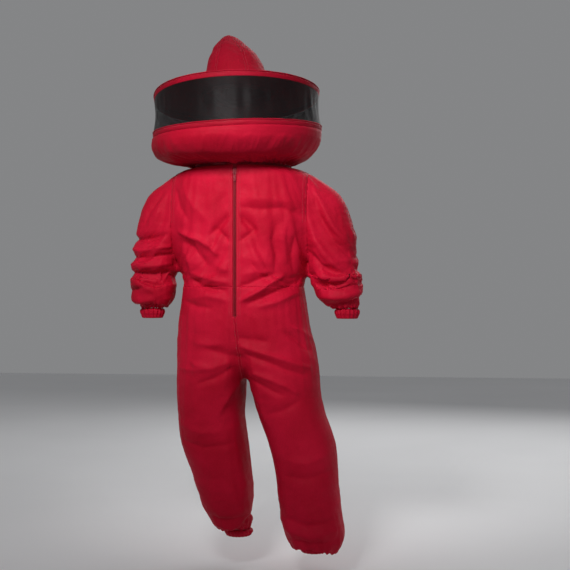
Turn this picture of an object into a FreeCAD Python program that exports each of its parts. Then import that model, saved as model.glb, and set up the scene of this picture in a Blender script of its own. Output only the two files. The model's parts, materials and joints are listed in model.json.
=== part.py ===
"""A child's one-piece beekeeping suit with a round hat and veil that zips on at the neck.

Millimetres. +Z is up, the front faces -Y and +X is the wearer's left. The origin is the centre of
the neck opening. The suit keeps the shape it has when it is worn: every panel is a thin hollow
shell, open at the neck, wrists and ankles.
"""
import FreeCAD
import Part
import math
import os

V = FreeCAD.Vector

# ---- driving dimensions --------------------------------------------------------------------------
FABRIC = 2.0              # thickness of every fabric panel
GAP = 0.4                 # clearance between pieces that move apart
SEAM = 0.1                # clearance between two panels sewn to each other

NECK_R = 116.0            # inside of the suit's neckline
NECK_TOP = -3.0           # top edge of the suit's fabric
NECK_STEP = 4.0           # the hollow starts this much smaller, so that the neck's bore opens it
TAPE = 1.2                # thickness of zip tape
TAPE_HEIGHT = 13.0        # height of each neck zip tape
TEETH = 2.6               # width of one row of zip teeth
TEETH_DEEP = 2.6          # thickness of a row of zip teeth

FRONT_Y = -120.0          # face of the suit at the front zip
ZIP_SLOT = 7.0            # half the slot between the two front edges
ZIP_TAPE_EDGE = 13.0      # far edge of each front zip tape from the centre
ZIP_TOP = -10.0
ZIP_BOTTOM = -362.0
ARMHOLE_X = 165.0         # plane of each armhole, from the centre
SIDE_SEAM_Y = 6.0         # side seams lie just behind the middle
WAIST_Z = -291.0
HIP_Z = -400.0            # height of the hip axis
HIP_R = 125.0             # the seat is trimmed to this radius about the hip axis
CROTCH_X = 12.0           # the crotch seam leans over to this side
CROTCH_Z = -525.0

WRIST_R = 24.0
WRIST_CUFF = 21.0
ANKLE_R = 29.0
ANKLE_CUFF = 14.0
ELASTIC = 1.2             # thickness of every elastic

BRIM_R = 200.0
BRIM_CENTRE = V(-12, -20, 176)
BRIM_FRONT_UP = 7.5       # degrees
BRIM_SIDE_DOWN = 2.4      # degrees, towards the wearer's right
HEAD_R = 88.0             # inside of the hat's head opening
BAND_R = 83.0             # outside of the sweatband
BAND_LOW = -8.0
BAND_HEIGHT = 20.0
HOOP_R = 207.0
HOOP_CENTRE = V(-10, -20, 84)
HOOP_FRONT_UP = 0.5
WIRE_R = 1.6
CASING = 14.0             # height of the brim binding and the hoop casing
MESH = 0.8

POINTS = 24               # points round every outline
EVEN = [i / POINTS for i in range(POINTS + 1)]
FAR = 2000.0              # larger than the suit
SLEEVE_ROUND = 2.2        # squareness of the sleeves' sections
LEG_ROUND = 2.4           # squareness of the legs' sections


# ---- outlines and lofts --------------------------------------------------------------------------
def closed_curve(points):
    curve = Part.BSplineCurve()
    curve.interpolate(Points=points, PeriodicFlag=True, Parameters=EVEN)
    return Part.Wire([curve.toShape()])


def round_outline(ends, y, front, back, power=2.0, deepest=0.5, shrink=0.0):
    """A closed outline between two end points (x, z), with its own depth in front and behind.

    deepest is where it is deepest, as a fraction of the way from the first end to the second.
    """
    (xa, za), (xb, zb) = ends
    start, end = V(xa, y, za), V(xb, y, zb)
    middle = start + (end - start) * deepest
    points = []
    for i in range(POINTS):
        turn = 2 * math.pi * i / POINTS
        along = math.copysign(abs(math.cos(turn)) ** (2 / power), math.cos(turn))
        across = math.copysign(abs(math.sin(turn)) ** (2 / power), math.sin(turn))
        reach = end - middle if along > 0 else middle - start
        reach = reach * (1 - shrink / reach.Length)
        depth = (back if across > 0 else front) - shrink
        points.append(middle + reach * along + V(0, depth * across, 0))
    return closed_curve(points)


def loft(wires):
    return Part.makeLoft(wires, True)


def tube(rows):
    """Outside and inside of a tube of fabric through sections (ends, y, front, back, ...)."""
    outside = loft([round_outline(*row) for row in rows])
    inside = loft([round_outline(*row, shrink=FABRIC) for row in rows])
    return outside, inside


def side_normal(rows, i):
    """Outward direction (sideways, up) of the outline at row i of rows (half width, z)."""
    before = rows[max(i - 1, 0)]
    after = rows[min(i + 1, len(rows) - 1)]
    run = V(after[0] - before[0], after[1] - before[1], 0).normalize()
    return -run.y, run.x


def box(x0, x1, y0, y1, z0, z1):
    return Part.makeBox(x1 - x0, y1 - y0, z1 - z0, V(x0, y0, z0))


def ring(inner, outer, low, high):
    """A plain ring about the neck's axis."""
    height = high - low
    solid = Part.makeCylinder(outer, height, V(0, 0, low))
    return solid.cut(Part.makeCylinder(inner, height, V(0, 0, low)))


def plate(outline, y, thickness):
    """A plate with the outline (x, z) drawn on the plane y, thickened towards -Y."""
    points = [V(x, y, z) for x, z in outline]
    return Part.Face(Part.makePolygon(points + points[:1])).extrude(V(0, -thickness, 0))


def largest(shape):
    """The biggest solid: slivers left by trimming are dropped."""
    return max(shape.Solids, key=lambda solid: solid.Volume)


# ---- body of the suit ----------------------------------------------------------------------------
# (right edge x, left edge x, z, front depth, back depth, squareness)
TRUNK = [
    (-118, 118, -3, 118, 118, 2.0),
    (-143, 143, -8, 119.8, 119, 2.1),
    (-163, 163, -14, 120.4, 119, 2.2),
    (-176, 176, -28, 120.2, 119, 2.3),
    (-184, 184, -60, 120, 118, 2.5),
    (-185, 185, -110, 120, 117, 2.6),
    (-177, 177, -160, 120, 115, 2.5),
    (-163, 163, -205, 120, 112, 2.4),
    (-155, 155, -245, 120, 109, 2.3),
    (-151, 151, -291, 120, 107, 2.3),
    (-157, 157, -325, 120, 111, 2.3),
    (-162, 162, -365, 120, 116, 2.3),
    (-163, 168, -395, 119, 119, 2.3),
    (-165, 182, -440, 117, 121, 2.4),
    (-164, 189, -490, 115, 120, 2.5),
    (-163, 190, -540, 114, 118, 3.2),
]


def trunk_rows(inset):
    """The trunk's sections, inset square to its sides so that flat shoulders keep their thickness."""
    sides = [(row[1], row[2]) for row in TRUNK]
    rows = []
    for i, (right, left, z, front, back, power) in enumerate(TRUNK):
        aside, up = side_normal(sides, i)
        low = z - inset * abs(up)
        side = inset * abs(aside)
        depth = inset
        if inset and i == 0:
            side = depth = inset + NECK_STEP
        rows.append((((right + side, low), (left - side, low)), 0, front - depth, back - depth, power))
    return rows


SEAT_START = 18.0         # the seat is as wide as the trunk from this far above the hip axis
LEG_START = 2.0           # the legs start this far below the hip axis
NECK_BORE = (-20.0, 40.0)  # lower end and height of the bore that opens the neck


def neck_bore(radius):
    low, height = NECK_BORE
    return Part.makeCylinder(radius, height, V(0, 0, low))


def seat(radius):
    """Everything above the hip axis, and a barrel about it below."""
    barrel = Part.makeCylinder(radius, FAR, V(-FAR / 2, 0, HIP_Z), V(1, 0, 0))
    return barrel.fuse(box(-FAR / 2, FAR / 2, -FAR / 2, FAR / 2, HIP_Z, FAR / 2))


# (inner edge x, outer edge x, z, middle y, front depth, back depth, where it is deepest)
LEG_LEFT = [
    (15, 184, -430, 0, 114, 118, 0.16),
    (16, 188, -480, 0, 115, 119, 0.18),
    (24, 189, -530, 0, 109, 113, 0.3),
    (42, 200, -590, -3, 99, 103, 0.5),
    (70, 228, -665, -8, 92, 95, 0.5),
    (87, 235, -735, -14, 87, 89, 0.5),
    (94, 241, -800, -20, 85, 84, 0.5),
    (103, 254, -848, -26, 82, 80, 0.5),
    (116, 254, -874, -33, 68, 66, 0.5),
    (134, 238, -893, -39, 46, 46, 0.5),
    (151, 209, -911, -43, 29, 29, 0.5),
]
LEG_RIGHT = [
    (9, -164, -430, 0, 114, 118, 0.13),
    (8, -164, -480, 0, 115, 119, 0.15),
    (4, -163, -530, 0, 109, 113, 0.3),
    (2, -160, -590, 2, 99, 103, 0.5),
    (12, -153, -665, 6, 92, 95, 0.5),
    (20, -127, -735, 10, 87, 89, 0.5),
    (24, -113, -785, 14, 82, 82, 0.5),
    (22, -97, -825, 18, 74, 74, 0.5),
    (18, -72, -860, 22, 54, 54, 0.5),
    (14, -44, -891, 26, 29, 29, 0.5),
]
LEGS = {"left": LEG_LEFT, "right": LEG_RIGHT}


def leg_tube(table, trunk_outside, trunk_inside):
    """Outside and inside of one leg, which keeps to the trunk's own outline where it leaves it."""
    rows = [(((a, z), (b, z)), y, front, back, LEG_ROUND, deepest)
            for a, b, z, y, front, back, deepest in table]
    outside, inside = tube(rows)
    below = box(-FAR, FAR, -FAR, FAR, -FAR, TRUNK[-1][2] + SEAM)
    return outside.common(trunk_outside.fuse(below)), inside.common(trunk_inside.fuse(below))


def side_of_suit(left):
    """Space on one side of the centre line: the zip, then the seam down to the crotch."""
    edge = [(0, FAR / 2), (0, ZIP_BOTTOM), (CROTCH_X, CROTCH_Z), (CROTCH_X, -FAR)]
    far = FAR if left else -FAR
    inset = SEAM / 2 if left else -SEAM / 2
    outline = [(x + inset, z) for x, z in edge] + [(far, -FAR), (far, FAR / 2)]
    return plate(outline, FAR / 2, FAR)


def suit_shells():
    """The trunk as one hollow shell, and one hollow shell for each leg."""
    outside = loft([round_outline(*row) for row in trunk_rows(0)])
    inside = loft([round_outline(*row) for row in trunk_rows(FABRIC)])
    legs = {side: leg_tube(table, outside, inside) for side, table in LEGS.items()}
    hollow = inside.common(seat(HIP_R - FABRIC)).fuse([neck_bore(NECK_R), legs["left"][1], legs["right"][1]])
    trunk = outside.common(seat(HIP_R)).cut(hollow)
    chest = box(-ARMHOLE_X, ARMHOLE_X, -FAR, FAR, HIP_Z + SEAT_START, 0)
    trunk = trunk.common(chest.fuse(box(-FAR, FAR, -FAR, FAR, -FAR, HIP_Z + SEAT_START)))
    joint = Part.makeCylinder(HIP_R + GAP, FAR, V(-FAR / 2, 0, HIP_Z), V(1, 0, 0))
    above = box(-FAR, FAR, -FAR, FAR, HIP_Z - LEG_START, FAR)
    shells = {side: outer.cut(inner).cut(joint.fuse(above)) for side, (outer, inner) in legs.items()}
    return trunk, shells


SLOT_END = 6.0            # the zip's slot runs on this far below the zip


def suit_panels(trunk):
    """The trunk cut along its seams into fronts, back and seat."""
    front = box(-FAR, FAR, -FAR, SIDE_SEAM_Y - SEAM / 2, -FAR, FAR)
    back = box(-FAR, FAR, SIDE_SEAM_Y + SEAM / 2, FAR, -FAR, FAR)
    above = box(-FAR, FAR, -FAR, FAR, WAIST_Z + SEAM / 2, FAR)
    below = box(-FAR, FAR, -FAR, FAR, -FAR, WAIST_Z - SEAM / 2)
    slot = box(-ZIP_SLOT, ZIP_SLOT, -FAR, 0, ZIP_BOTTOM - SLOT_END, FAR)
    sides = {"left": side_of_suit(True), "right": side_of_suit(False)}
    upper = trunk.common(above)
    lower = trunk.common(below)
    panels = {"upper_back": largest(upper.common(back))}
    for side, space in sides.items():
        panels["upper_front_" + side] = largest(upper.common(front).common(space).cut(slot))
        panels["trouser_front_" + side] = largest(lower.common(front).common(space).cut(slot))
        panels["trouser_back_" + side] = largest(lower.common(back).common(space))
    return panels


WAIST_ROWS = slice(8, 11)  # the trunk's sections on either side of the waist
WAIST_BAND = 10.0         # half the height of the waist elastic


def waist_elastic():
    """A flat elastic that lies just inside the waist."""
    rows = trunk_rows(FABRIC + GAP)[WAIST_ROWS]
    inner_rows = trunk_rows(FABRIC + GAP + ELASTIC)[WAIST_ROWS]
    band = loft([round_outline(*row) for row in rows]).cut(loft([round_outline(*row) for row in inner_rows]))
    band = band.common(box(-FAR, FAR, -FAR, FAR, WAIST_Z - WAIST_BAND, WAIST_Z + WAIST_BAND))
    zip_gap = ZIP_TAPE_EDGE + GAP
    return largest(band.cut(box(-zip_gap, zip_gap, -FAR, 0, -FAR, FAR)))


# ---- sleeves -------------------------------------------------------------------------------------
# (inner end x, z, outer end x, z, middle y, front depth, back depth); x for the wearer's left
SLEEVE_LEFT = [
    (165.4, -192, 165.4, -16, 2, 70, 70),
    (166, -198, 206, -31, 2, 71, 71),
    (166.6, -204, 250, -66, 1, 71, 70),
    (167, -212, 276, -135, 0, 69, 67),
    (167, -240, 283, -225, -2, 66, 63),
    (168, -272, 298, -272, -5, 64, 60),
    (176, -296, 294, -298, -8, 60, 55),
    (205, -318, 288, -320, -10, 46, 44),
    (224, -338, 285, -338, -12, 33, 33),
    (232, -347, 281, -347, -12, 25.5, 25.5),
]
SLEEVE_RIGHT = [
    (165.4, -192, 165.4, -16, 2, 70, 70),
    (166, -198, 206, -31, 2, 71, 71),
    (166.4, -204, 246, -66, 1, 70, 70),
    (166.6, -214, 268, -135, 0, 66, 66),
    (166.8, -240, 277, -225, -2, 62, 62),
    (167, -270, 281, -272, -4, 58, 58),
    (168, -298, 277, -298, -6, 54, 52),
    (182, -322, 264, -322, -8, 43, 42),
    (196, -339, 252, -339, -9, 30, 30),
    (200, -347, 249, -347, -9, 25.5, 25.5),
]
SLEEVES = {"left": (SLEEVE_LEFT, 1), "right": (SLEEVE_RIGHT, -1)}
UNDERARM = 3              # the section where the shoulder's bend ends and the arm begins


def sleeve_pieces(side):
    """Front and back of one sleeve, its cuff and the elastic inside the cuff."""
    table, sign = SLEEVES[side]
    rows = [(((sign * xa, za), (sign * xb, zb)), y, front, back, SLEEVE_ROUND)
            for xa, za, xb, zb, y, front, back in table]
    bend = tube(rows[:UNDERARM + 1])
    arm = tube(rows[UNDERARM:])
    shell = bend[0].cut(bend[1]).fuse(arm[0].cut(arm[1]))
    armhole = sorted((sign * (ARMHOLE_X + GAP), sign * FAR))
    shell = shell.common(box(*armhole, -FAR, FAR, -FAR, FAR))
    last = table[-1]
    centre = V(sign * (last[0] + last[2]) / 2, last[4], last[1])
    front = box(-FAR, FAR, -FAR, -SEAM / 2, -FAR, FAR)
    back = box(-FAR, FAR, SEAM / 2, FAR, -FAR, FAR)
    cuff, elastic = cuff_pieces(centre, WRIST_R, centre.z - SEAM, WRIST_CUFF)
    return {
        "sleeve_front_" + side: largest(shell.common(front)),
        "sleeve_back_" + side: largest(shell.common(back)),
        "wrist_cuff_" + side: cuff,
        "wrist_elastic_" + side: elastic,
    }


ELASTIC_INSET = 3.0       # each cuff elastic ends this far from the cuff's edges


def cuff_pieces(centre, radius, top, height):
    """A gathered cuff, and the elastic that lies inside it."""
    base = V(centre.x, centre.y, top - height)

    def hoop(outer, thickness, rise, tall):
        at = base + V(0, 0, rise)
        return Part.makeCylinder(outer, tall, at).cut(Part.makeCylinder(outer - thickness, tall, at))

    cuff = hoop(radius, FABRIC, 0, height)
    elastic = hoop(radius - FABRIC - GAP / 2, ELASTIC, ELASTIC_INSET, height - 2 * ELASTIC_INSET)
    return cuff, elastic


# ---- legs ----------------------------------------------------------------------------------------
def leg_pieces(side, shell):
    """Front and back of one leg, its ankle cuff and the elastic inside the cuff."""
    inner, outer, top, y = LEGS[side][-1][:4]
    front = box(-FAR, FAR, -FAR, -SEAM / 2, -FAR, FAR)
    back = box(-FAR, FAR, SEAM / 2, FAR, -FAR, FAR)
    cuff, elastic = cuff_pieces(V((inner + outer) / 2, y, 0), ANKLE_R, top - SEAM, ANKLE_CUFF)
    return {
        "leg_front_" + side: largest(shell.common(front)),
        "leg_back_" + side: largest(shell.common(back)),
        "ankle_cuff_" + side: cuff,
        "ankle_elastic_" + side: elastic,
    }


# ---- neck zip and its facing ---------------------------------------------------------------------
CHAIN_GAP = 0.2           # each row of teeth stays this far from the closing line
TAPE_START = CHAIN_GAP + TEETH + SEAM
TAPE_IN = NECK_R - 1.6    # inside radius of both neck zip tapes
CHAIN_R = TAPE_IN + TAPE / 2
FACING_LOW = -22.0        # lower edge of the facing inside the neckline


def neck_pieces():
    """Both halves of the neck zip, and the facing inside the neckline."""
    tape_out = TAPE_IN + TAPE
    tape_end = TAPE_START + TAPE_HEIGHT
    inner, outer = CHAIN_R - TEETH_DEEP / 2, CHAIN_R + TEETH_DEEP / 2
    return {
        "neck_zip_lower_tape": ring(TAPE_IN, tape_out, -tape_end, -TAPE_START),
        "neck_zip_lower_chain": ring(inner, outer, -CHAIN_GAP - TEETH, -CHAIN_GAP),
        "neck_zip_upper_tape": ring(TAPE_IN, tape_out, TAPE_START, tape_end),
        "neck_zip_upper_chain": ring(inner, outer, CHAIN_GAP, CHAIN_GAP + TEETH),
        "neck_facing": ring(TAPE_IN - FABRIC, TAPE_IN - SEAM, FACING_LOW, NECK_TOP - SEAM),
    }


# ---- zip sliders ---------------------------------------------------------------------------------
PLATE_LONG = 12.0         # length of a slider
PLATE_WIDE = {"front": 9.0, "neck": 5.0}
PLATE_THICK = 2.0
SLIDER_ROUND = 1.2        # radius of a slider's corners
GUIDE = 1.3               # width of each guide along a slider's sides
GUIDE_DEEP = 1.0
BAIL_HIGH = 2.6
BAIL_THICK = 1.4
BAIL_TOP = 3.4            # upper end of the bail, above the middle of the slider
BAIL_LOW = 2.2            # lower end of the bail, below the pull's hinge line
EYE = 2.2                 # height of the eye that the pull hangs in
EYE_WALL = 0.9            # metal in front of the eye
PULL_LONG = 20.0
PULL_WIDE = {"front": 6.0, "neck": 5.0}
PULL_THICK = 1.4
PULL_ROUND = 1.5          # radius of a pull's corners
PULL_TOP = -4.6           # top of the tab, below its hinge line
PIN_R = 0.55
ARM = 1.2                 # width of each arm between the pin and the tab
ARM_LOW = -5.0
HOLE_R = 1.3
HOLE_UP = 4.2             # from the tab's lower end to the middle of its hole
SLIDER_START = -20.0      # middle of the front zip's slider when the zip is closed
PULL_DROP = 3.0           # from the middle of a slider down to its pull's hinge line
PULL_OUT = 0.85           # from a slider's front face out to its pull's hinge line
NECK_SLIDER_ANGLE = -14.0  # degrees from the front, towards the wearer's right


def slider_body(zip_name):
    """A slider for a zip along Z whose teeth face -Y; its back face lies on y = 0."""
    half = PLATE_WIDE[zip_name] / 2
    body = box(-half, half, -PLATE_THICK, 0, -PLATE_LONG / 2, PLATE_LONG / 2)
    corners = [e for e in body.Edges if abs(e.tangentAt(e.FirstParameter).y) > 0.9]
    upright = body.makeFillet(SLIDER_ROUND, corners)
    if zip_name == "front":
        for x in (-half, half - GUIDE):
            end = PLATE_LONG / 2 - SLIDER_ROUND
            rail = box(x, x + GUIDE, 0, GUIDE_DEEP, -end, end)
            upright = upright.fuse(rail)
    bail_out = -PLATE_THICK - BAIL_HIGH
    bail = box(-BAIL_THICK / 2, BAIL_THICK / 2, bail_out, -PLATE_THICK, -PULL_DROP - BAIL_LOW, BAIL_TOP)
    eye_low, eye_top = -PULL_DROP - EYE / 2, -PULL_DROP + EYE / 2
    eye = box(-BAIL_THICK, BAIL_THICK, bail_out + EYE_WALL, -PLATE_THICK, eye_low, eye_top)
    return upright.fuse(bail.cut(eye)).removeSplitter()


def pull_tab(zip_name):
    """A flat pull that hangs from the bail; its hinge line is X through the origin."""
    pin_half = BAIL_THICK + 2 * ARM / 3
    pin = Part.makeCylinder(PIN_R, 2 * pin_half, V(-pin_half, 0, 0), V(1, 0, 0))
    pieces = [pin]
    for x in (-BAIL_THICK - ARM, BAIL_THICK):
        pieces.append(box(x, x + ARM, -PIN_R, PIN_R, ARM_LOW, PIN_R))
    half = PULL_WIDE[zip_name] / 2
    tab = box(-half, half, -PULL_THICK / 2, PULL_THICK / 2, -PULL_LONG, PULL_TOP)
    tab = tab.makeFillet(PULL_ROUND, [e for e in tab.Edges if abs(e.tangentAt(e.FirstParameter).y) > 0.9])
    hole = Part.makeCylinder(HOLE_R, 4 * PULL_THICK, V(0, 2 * PULL_THICK, HOLE_UP - PULL_LONG), V(0, -1, 0))
    pieces.append(tab.cut(hole))
    return pieces[0].fuse(pieces[1:]).removeSplitter()


def pull_place(face_y):
    """Hinge line of a pull on a slider whose back face lies on the plane face_y."""
    return V(0, face_y - PLATE_THICK - PULL_OUT, -PULL_DROP)


# ---- front zip -----------------------------------------------------------------------------------
TAPE_BEHIND = 0.8         # from the back of the front edges to the tapes
CHAIN_PROUD = 1.2         # the teeth stand this far in front of the tapes
SLIDER_PROUD = 0.3        # the slider's plate stands this far in front of the teeth
TAPE_TAIL = 4.0           # the tapes run on this far below the zip
CHAIN_TOP = 1.0           # the teeth start this far below the top of the tapes
STOP_PROUD = 0.5          # the bottom stop stands this far in front of the teeth
STOP_LOW = 3.0
STOP_TOP = 1.9            # upper end of the bottom stop, above the bottom of the zip
ZIP_TAPE_FACE = FRONT_Y + FABRIC + TAPE_BEHIND
CHAIN_FACE = ZIP_TAPE_FACE - CHAIN_PROUD
FRONT_SLIDER_Y = CHAIN_FACE - SLIDER_PROUD


def front_zip():
    """Tapes, teeth and stops of the front zip, and its slider and pull at the top."""
    pieces = {}
    tape_back = ZIP_TAPE_FACE + TAPE
    chain_back = CHAIN_FACE + TEETH_DEEP
    for side, sign in (("left", 1), ("right", -1)):
        tape = sorted((sign * TAPE_START, sign * ZIP_TAPE_EDGE))
        teeth = sorted((sign * CHAIN_GAP, sign * (CHAIN_GAP + TEETH)))
        tape_low, chain_low = ZIP_BOTTOM - TAPE_TAIL, ZIP_BOTTOM + STOP_TOP + SEAM
        pieces["front_zip_tape_" + side] = box(*tape, ZIP_TAPE_FACE, tape_back, tape_low, ZIP_TOP)
        pieces["front_zip_chain_" + side] = box(
            *teeth, CHAIN_FACE, chain_back, chain_low, ZIP_TOP - CHAIN_TOP)
    stop_half = CHAIN_GAP + TEETH
    stop_low, stop_top = ZIP_BOTTOM - STOP_LOW, ZIP_BOTTOM + STOP_TOP
    pieces["front_zip_bottom_stop"] = box(
        -stop_half, stop_half, CHAIN_FACE - STOP_PROUD, chain_back, stop_low, stop_top)
    slider = slider_body("front")
    slider.translate(V(0, FRONT_SLIDER_Y, SLIDER_START))
    pull = pull_tab("front")
    pull.translate(pull_place(FRONT_SLIDER_Y) + V(0, 0, SLIDER_START))
    pieces["front_zip_slider"] = slider
    pieces["front_zip_pull"] = pull
    return pieces


def neck_slider():
    """The neck zip's slider, lying along the ring on its outside, and its pull."""
    pieces = {"neck_zip_slider": slider_body("neck"), "neck_zip_pull": pull_tab("neck")}
    pieces["neck_zip_pull"].translate(pull_place(0))
    stand_off = CHAIN_R + TEETH_DEEP / 2 + GAP
    for piece in pieces.values():
        piece.rotate(V(0, 0, 0), V(0, 1, 0), 90)
        piece.translate(V(0, -stand_off, 0))
        piece.rotate(V(0, 0, 0), V(0, 0, 1), NECK_SLIDER_ANGLE)
    return pieces


# ---- hat and veil --------------------------------------------------------------------------------
CROWN_BASE = FABRIC + 2 * SEAM            # the crown stands on the brim
WIRE_IN = 4.2             # from the brim's rim in to the outside of the binding's hollow
BINDING_OUT = 1.0         # the binding stands this far outside the rim
BINDING_IN = 0.8
CASING_THICK = 1.6
NET_INSET = 0.6           # the net's lower edge lies this far inside the hoop casing's face
BACK_STRIP = 7.0          # half the width of the strip over the veil's back seam

# (height above the brim, radius, lean towards the wearer's right)
CROWN = [
    (CROWN_BASE, 88, 0),
    (30, 82, 1),
    (60, 73, 2),
    (85, 65, 5),
    (103, 55, 7),
    (118, 44, 12),
    (132, 31, 14),
    (143, 19, 16),
    (149, 8, 17),
]
# (middle x, middle y, z, radius), from the neck up to the hoop
SKIRT = [
    (0, 0, 9.5, 117),
    (-8, -5, 10, 130),
    (-16, -10, 12, 146),
    (-22, -14, 16.5, 163),
    (-25, -17, 25, 180),
    (-23, -19, 37, 193),
    (-18, -20, 52, 203),
    (-14, -20, 66, 207),
]


def tilt(centre, front_up, side_down):
    """The placement of a ring that is drawn flat about the origin."""
    lean = FreeCAD.Rotation(V(0, 1, 0), -side_down)
    raise_front = FreeCAD.Rotation(V(1, 0, 0), -front_up)
    return FreeCAD.Placement(centre, lean.multiply(raise_front))


BRIM_PLACE = tilt(BRIM_CENTRE, BRIM_FRONT_UP, BRIM_SIDE_DOWN)
HOOP_PLACE = tilt(HOOP_CENTRE, HOOP_FRONT_UP, BRIM_SIDE_DOWN)


def placed(shape, place):
    return shape.transformed(place.toMatrix())


def circle_at(place, height, radius, lean=0.0):
    """A round outline at a height above a tilted ring."""
    points = []
    for i in range(POINTS):
        turn = 2 * math.pi * i / POINTS
        flat = V(radius * math.cos(turn) - lean, radius * math.sin(turn), height)
        points.append(place.multVec(flat))
    return closed_curve(points)


def hat_pieces():
    """Crown, sweatband, brim, wire and binding, all on the tilted brim."""
    outside = loft([circle_at(BRIM_PLACE, z, r, lean) for z, r, lean in CROWN])
    hollow = [(max(z - FABRIC, CROWN_BASE), r - FABRIC, lean) for z, r, lean in CROWN]
    inside = loft([circle_at(BRIM_PLACE, z, r, lean) for z, r, lean in hollow])
    rim = BRIM_R - WIRE_IN
    annulus = Part.makeCylinder(rim - 2 * SEAM, FABRIC).cut(Part.makeCylinder(HEAD_R - FABRIC, FABRIC))
    wire = Part.makeTorus(rim + WIRE_R, WIRE_R, V(0, 0, -WIRE_R - 2 * SEAM))
    binding_base = V(0, 0, FABRIC - CASING)
    binding = Part.makeCylinder(BRIM_R + BINDING_OUT, CASING, binding_base)
    binding = binding.cut(Part.makeCylinder(BRIM_R - BINDING_IN, CASING, binding_base))
    band_base = V(0, 0, BAND_LOW)
    band = Part.makeCylinder(BAND_R, BAND_HEIGHT, band_base)
    band = band.cut(Part.makeCylinder(BAND_R - ELASTIC, BAND_HEIGHT, band_base))
    pieces = {"hat_brim": annulus, "brim_wire": wire, "brim_binding": binding, "sweatband": band}
    pieces = {name: placed(shape, BRIM_PLACE) for name, shape in pieces.items()}
    pieces["hat_crown"] = largest(outside.cut(inside))
    return pieces


def veil_tube(grow, thickness):
    """The net's wall between the brim binding and the hoop casing."""
    top, low = FABRIC - CASING - SEAM, CASING / 2 + SEAM
    walls = []
    for r in (grow, grow - thickness):
        upper = circle_at(BRIM_PLACE, top, BRIM_R + r)
        lower = circle_at(HOOP_PLACE, low, HOOP_R + r - NET_INSET)
        walls.append(loft([lower, upper]))
    return walls[0].cut(walls[1])


def veil_pieces():
    """Net, its back seam, the lower hoop in its casing, and the skirt down to the neck."""
    casing = Part.makeCylinder(HOOP_R, CASING, V(0, 0, -CASING / 2))
    casing = casing.cut(Part.makeCylinder(HOOP_R - CASING_THICK, CASING, V(0, 0, -CASING / 2)))
    wire = Part.makeTorus(HOOP_R - CASING_THICK - SEAM - WIRE_R, WIRE_R)
    pieces = {"hoop_casing": placed(casing, HOOP_PLACE), "lower_hoop": placed(wire, HOOP_PLACE)}
    pieces["veil_mesh"] = veil_tube(0.0, MESH)
    strip = box(-BACK_STRIP, BACK_STRIP, 0, FAR, -FAR, FAR)
    strip.translate(V(HOOP_CENTRE.x, 0, 0))
    pieces["veil_back_seam"] = largest(veil_tube(1.0, MESH).common(strip))
    pieces["veil_skirt"] = veil_skirt()
    return pieces


def veil_skirt():
    """The puffed skirt: nearly flat where it leaves the neck, upright where it meets the hoop."""
    sides = [(r, z) for x, y, z, r in SKIRT]
    walls = []
    for inset in (0.0, FABRIC):
        wires = []
        for i, (x, y, z, r) in enumerate(SKIRT):
            away, up = side_normal(sides, i)
            place = FreeCAD.Placement(V(x, y, z + inset * abs(up)), FreeCAD.Rotation())
            wires.append(circle_at(place, 0, r - inset * abs(away)))
        wires.append(circle_at(HOOP_PLACE, -CASING / 2 - SEAM, HOOP_R - inset))
        walls.append(loft(wires))
    skirt = walls[0].cut(walls[1])
    return largest(skirt.cut(neck_bore(TAPE_IN + TAPE + SEAM)))


# ---- everything ----------------------------------------------------------------------------------
def build():
    pieces = {}
    trunk, legs = suit_shells()
    pieces.update(suit_panels(trunk))
    pieces["waist_elastic"] = waist_elastic()
    pieces.update(neck_pieces())
    pieces.update(front_zip())
    pieces.update(neck_slider())
    pieces.update(hat_pieces())
    pieces.update(veil_pieces())
    for side in ("left", "right"):
        pieces.update(sleeve_pieces(side))
        pieces.update(leg_pieces(side, legs[side]))
    return pieces


os.makedirs("parts", exist_ok=True)
for name, shape in build().items():
    shape.exportStep("parts/" + name + ".step")
    size = shape.BoundBox
    print(f"{name:24s} {len(shape.Solids)} solid, valid {shape.isValid()}, "
          f"{shape.Volume / 1000:8.2f} cm3, x {size.XMin:.0f}..{size.XMax:.0f}, "
          f"y {size.YMin:.0f}..{size.YMax:.0f}, z {size.ZMin:.0f}..{size.ZMax:.0f}")
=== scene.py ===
import json
import math
import random

import bmesh
import bpy
import numpy as np
from mathutils import Matrix, Vector
from mathutils.bvhtree import BVHTree
from mathutils.noise import noise


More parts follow.
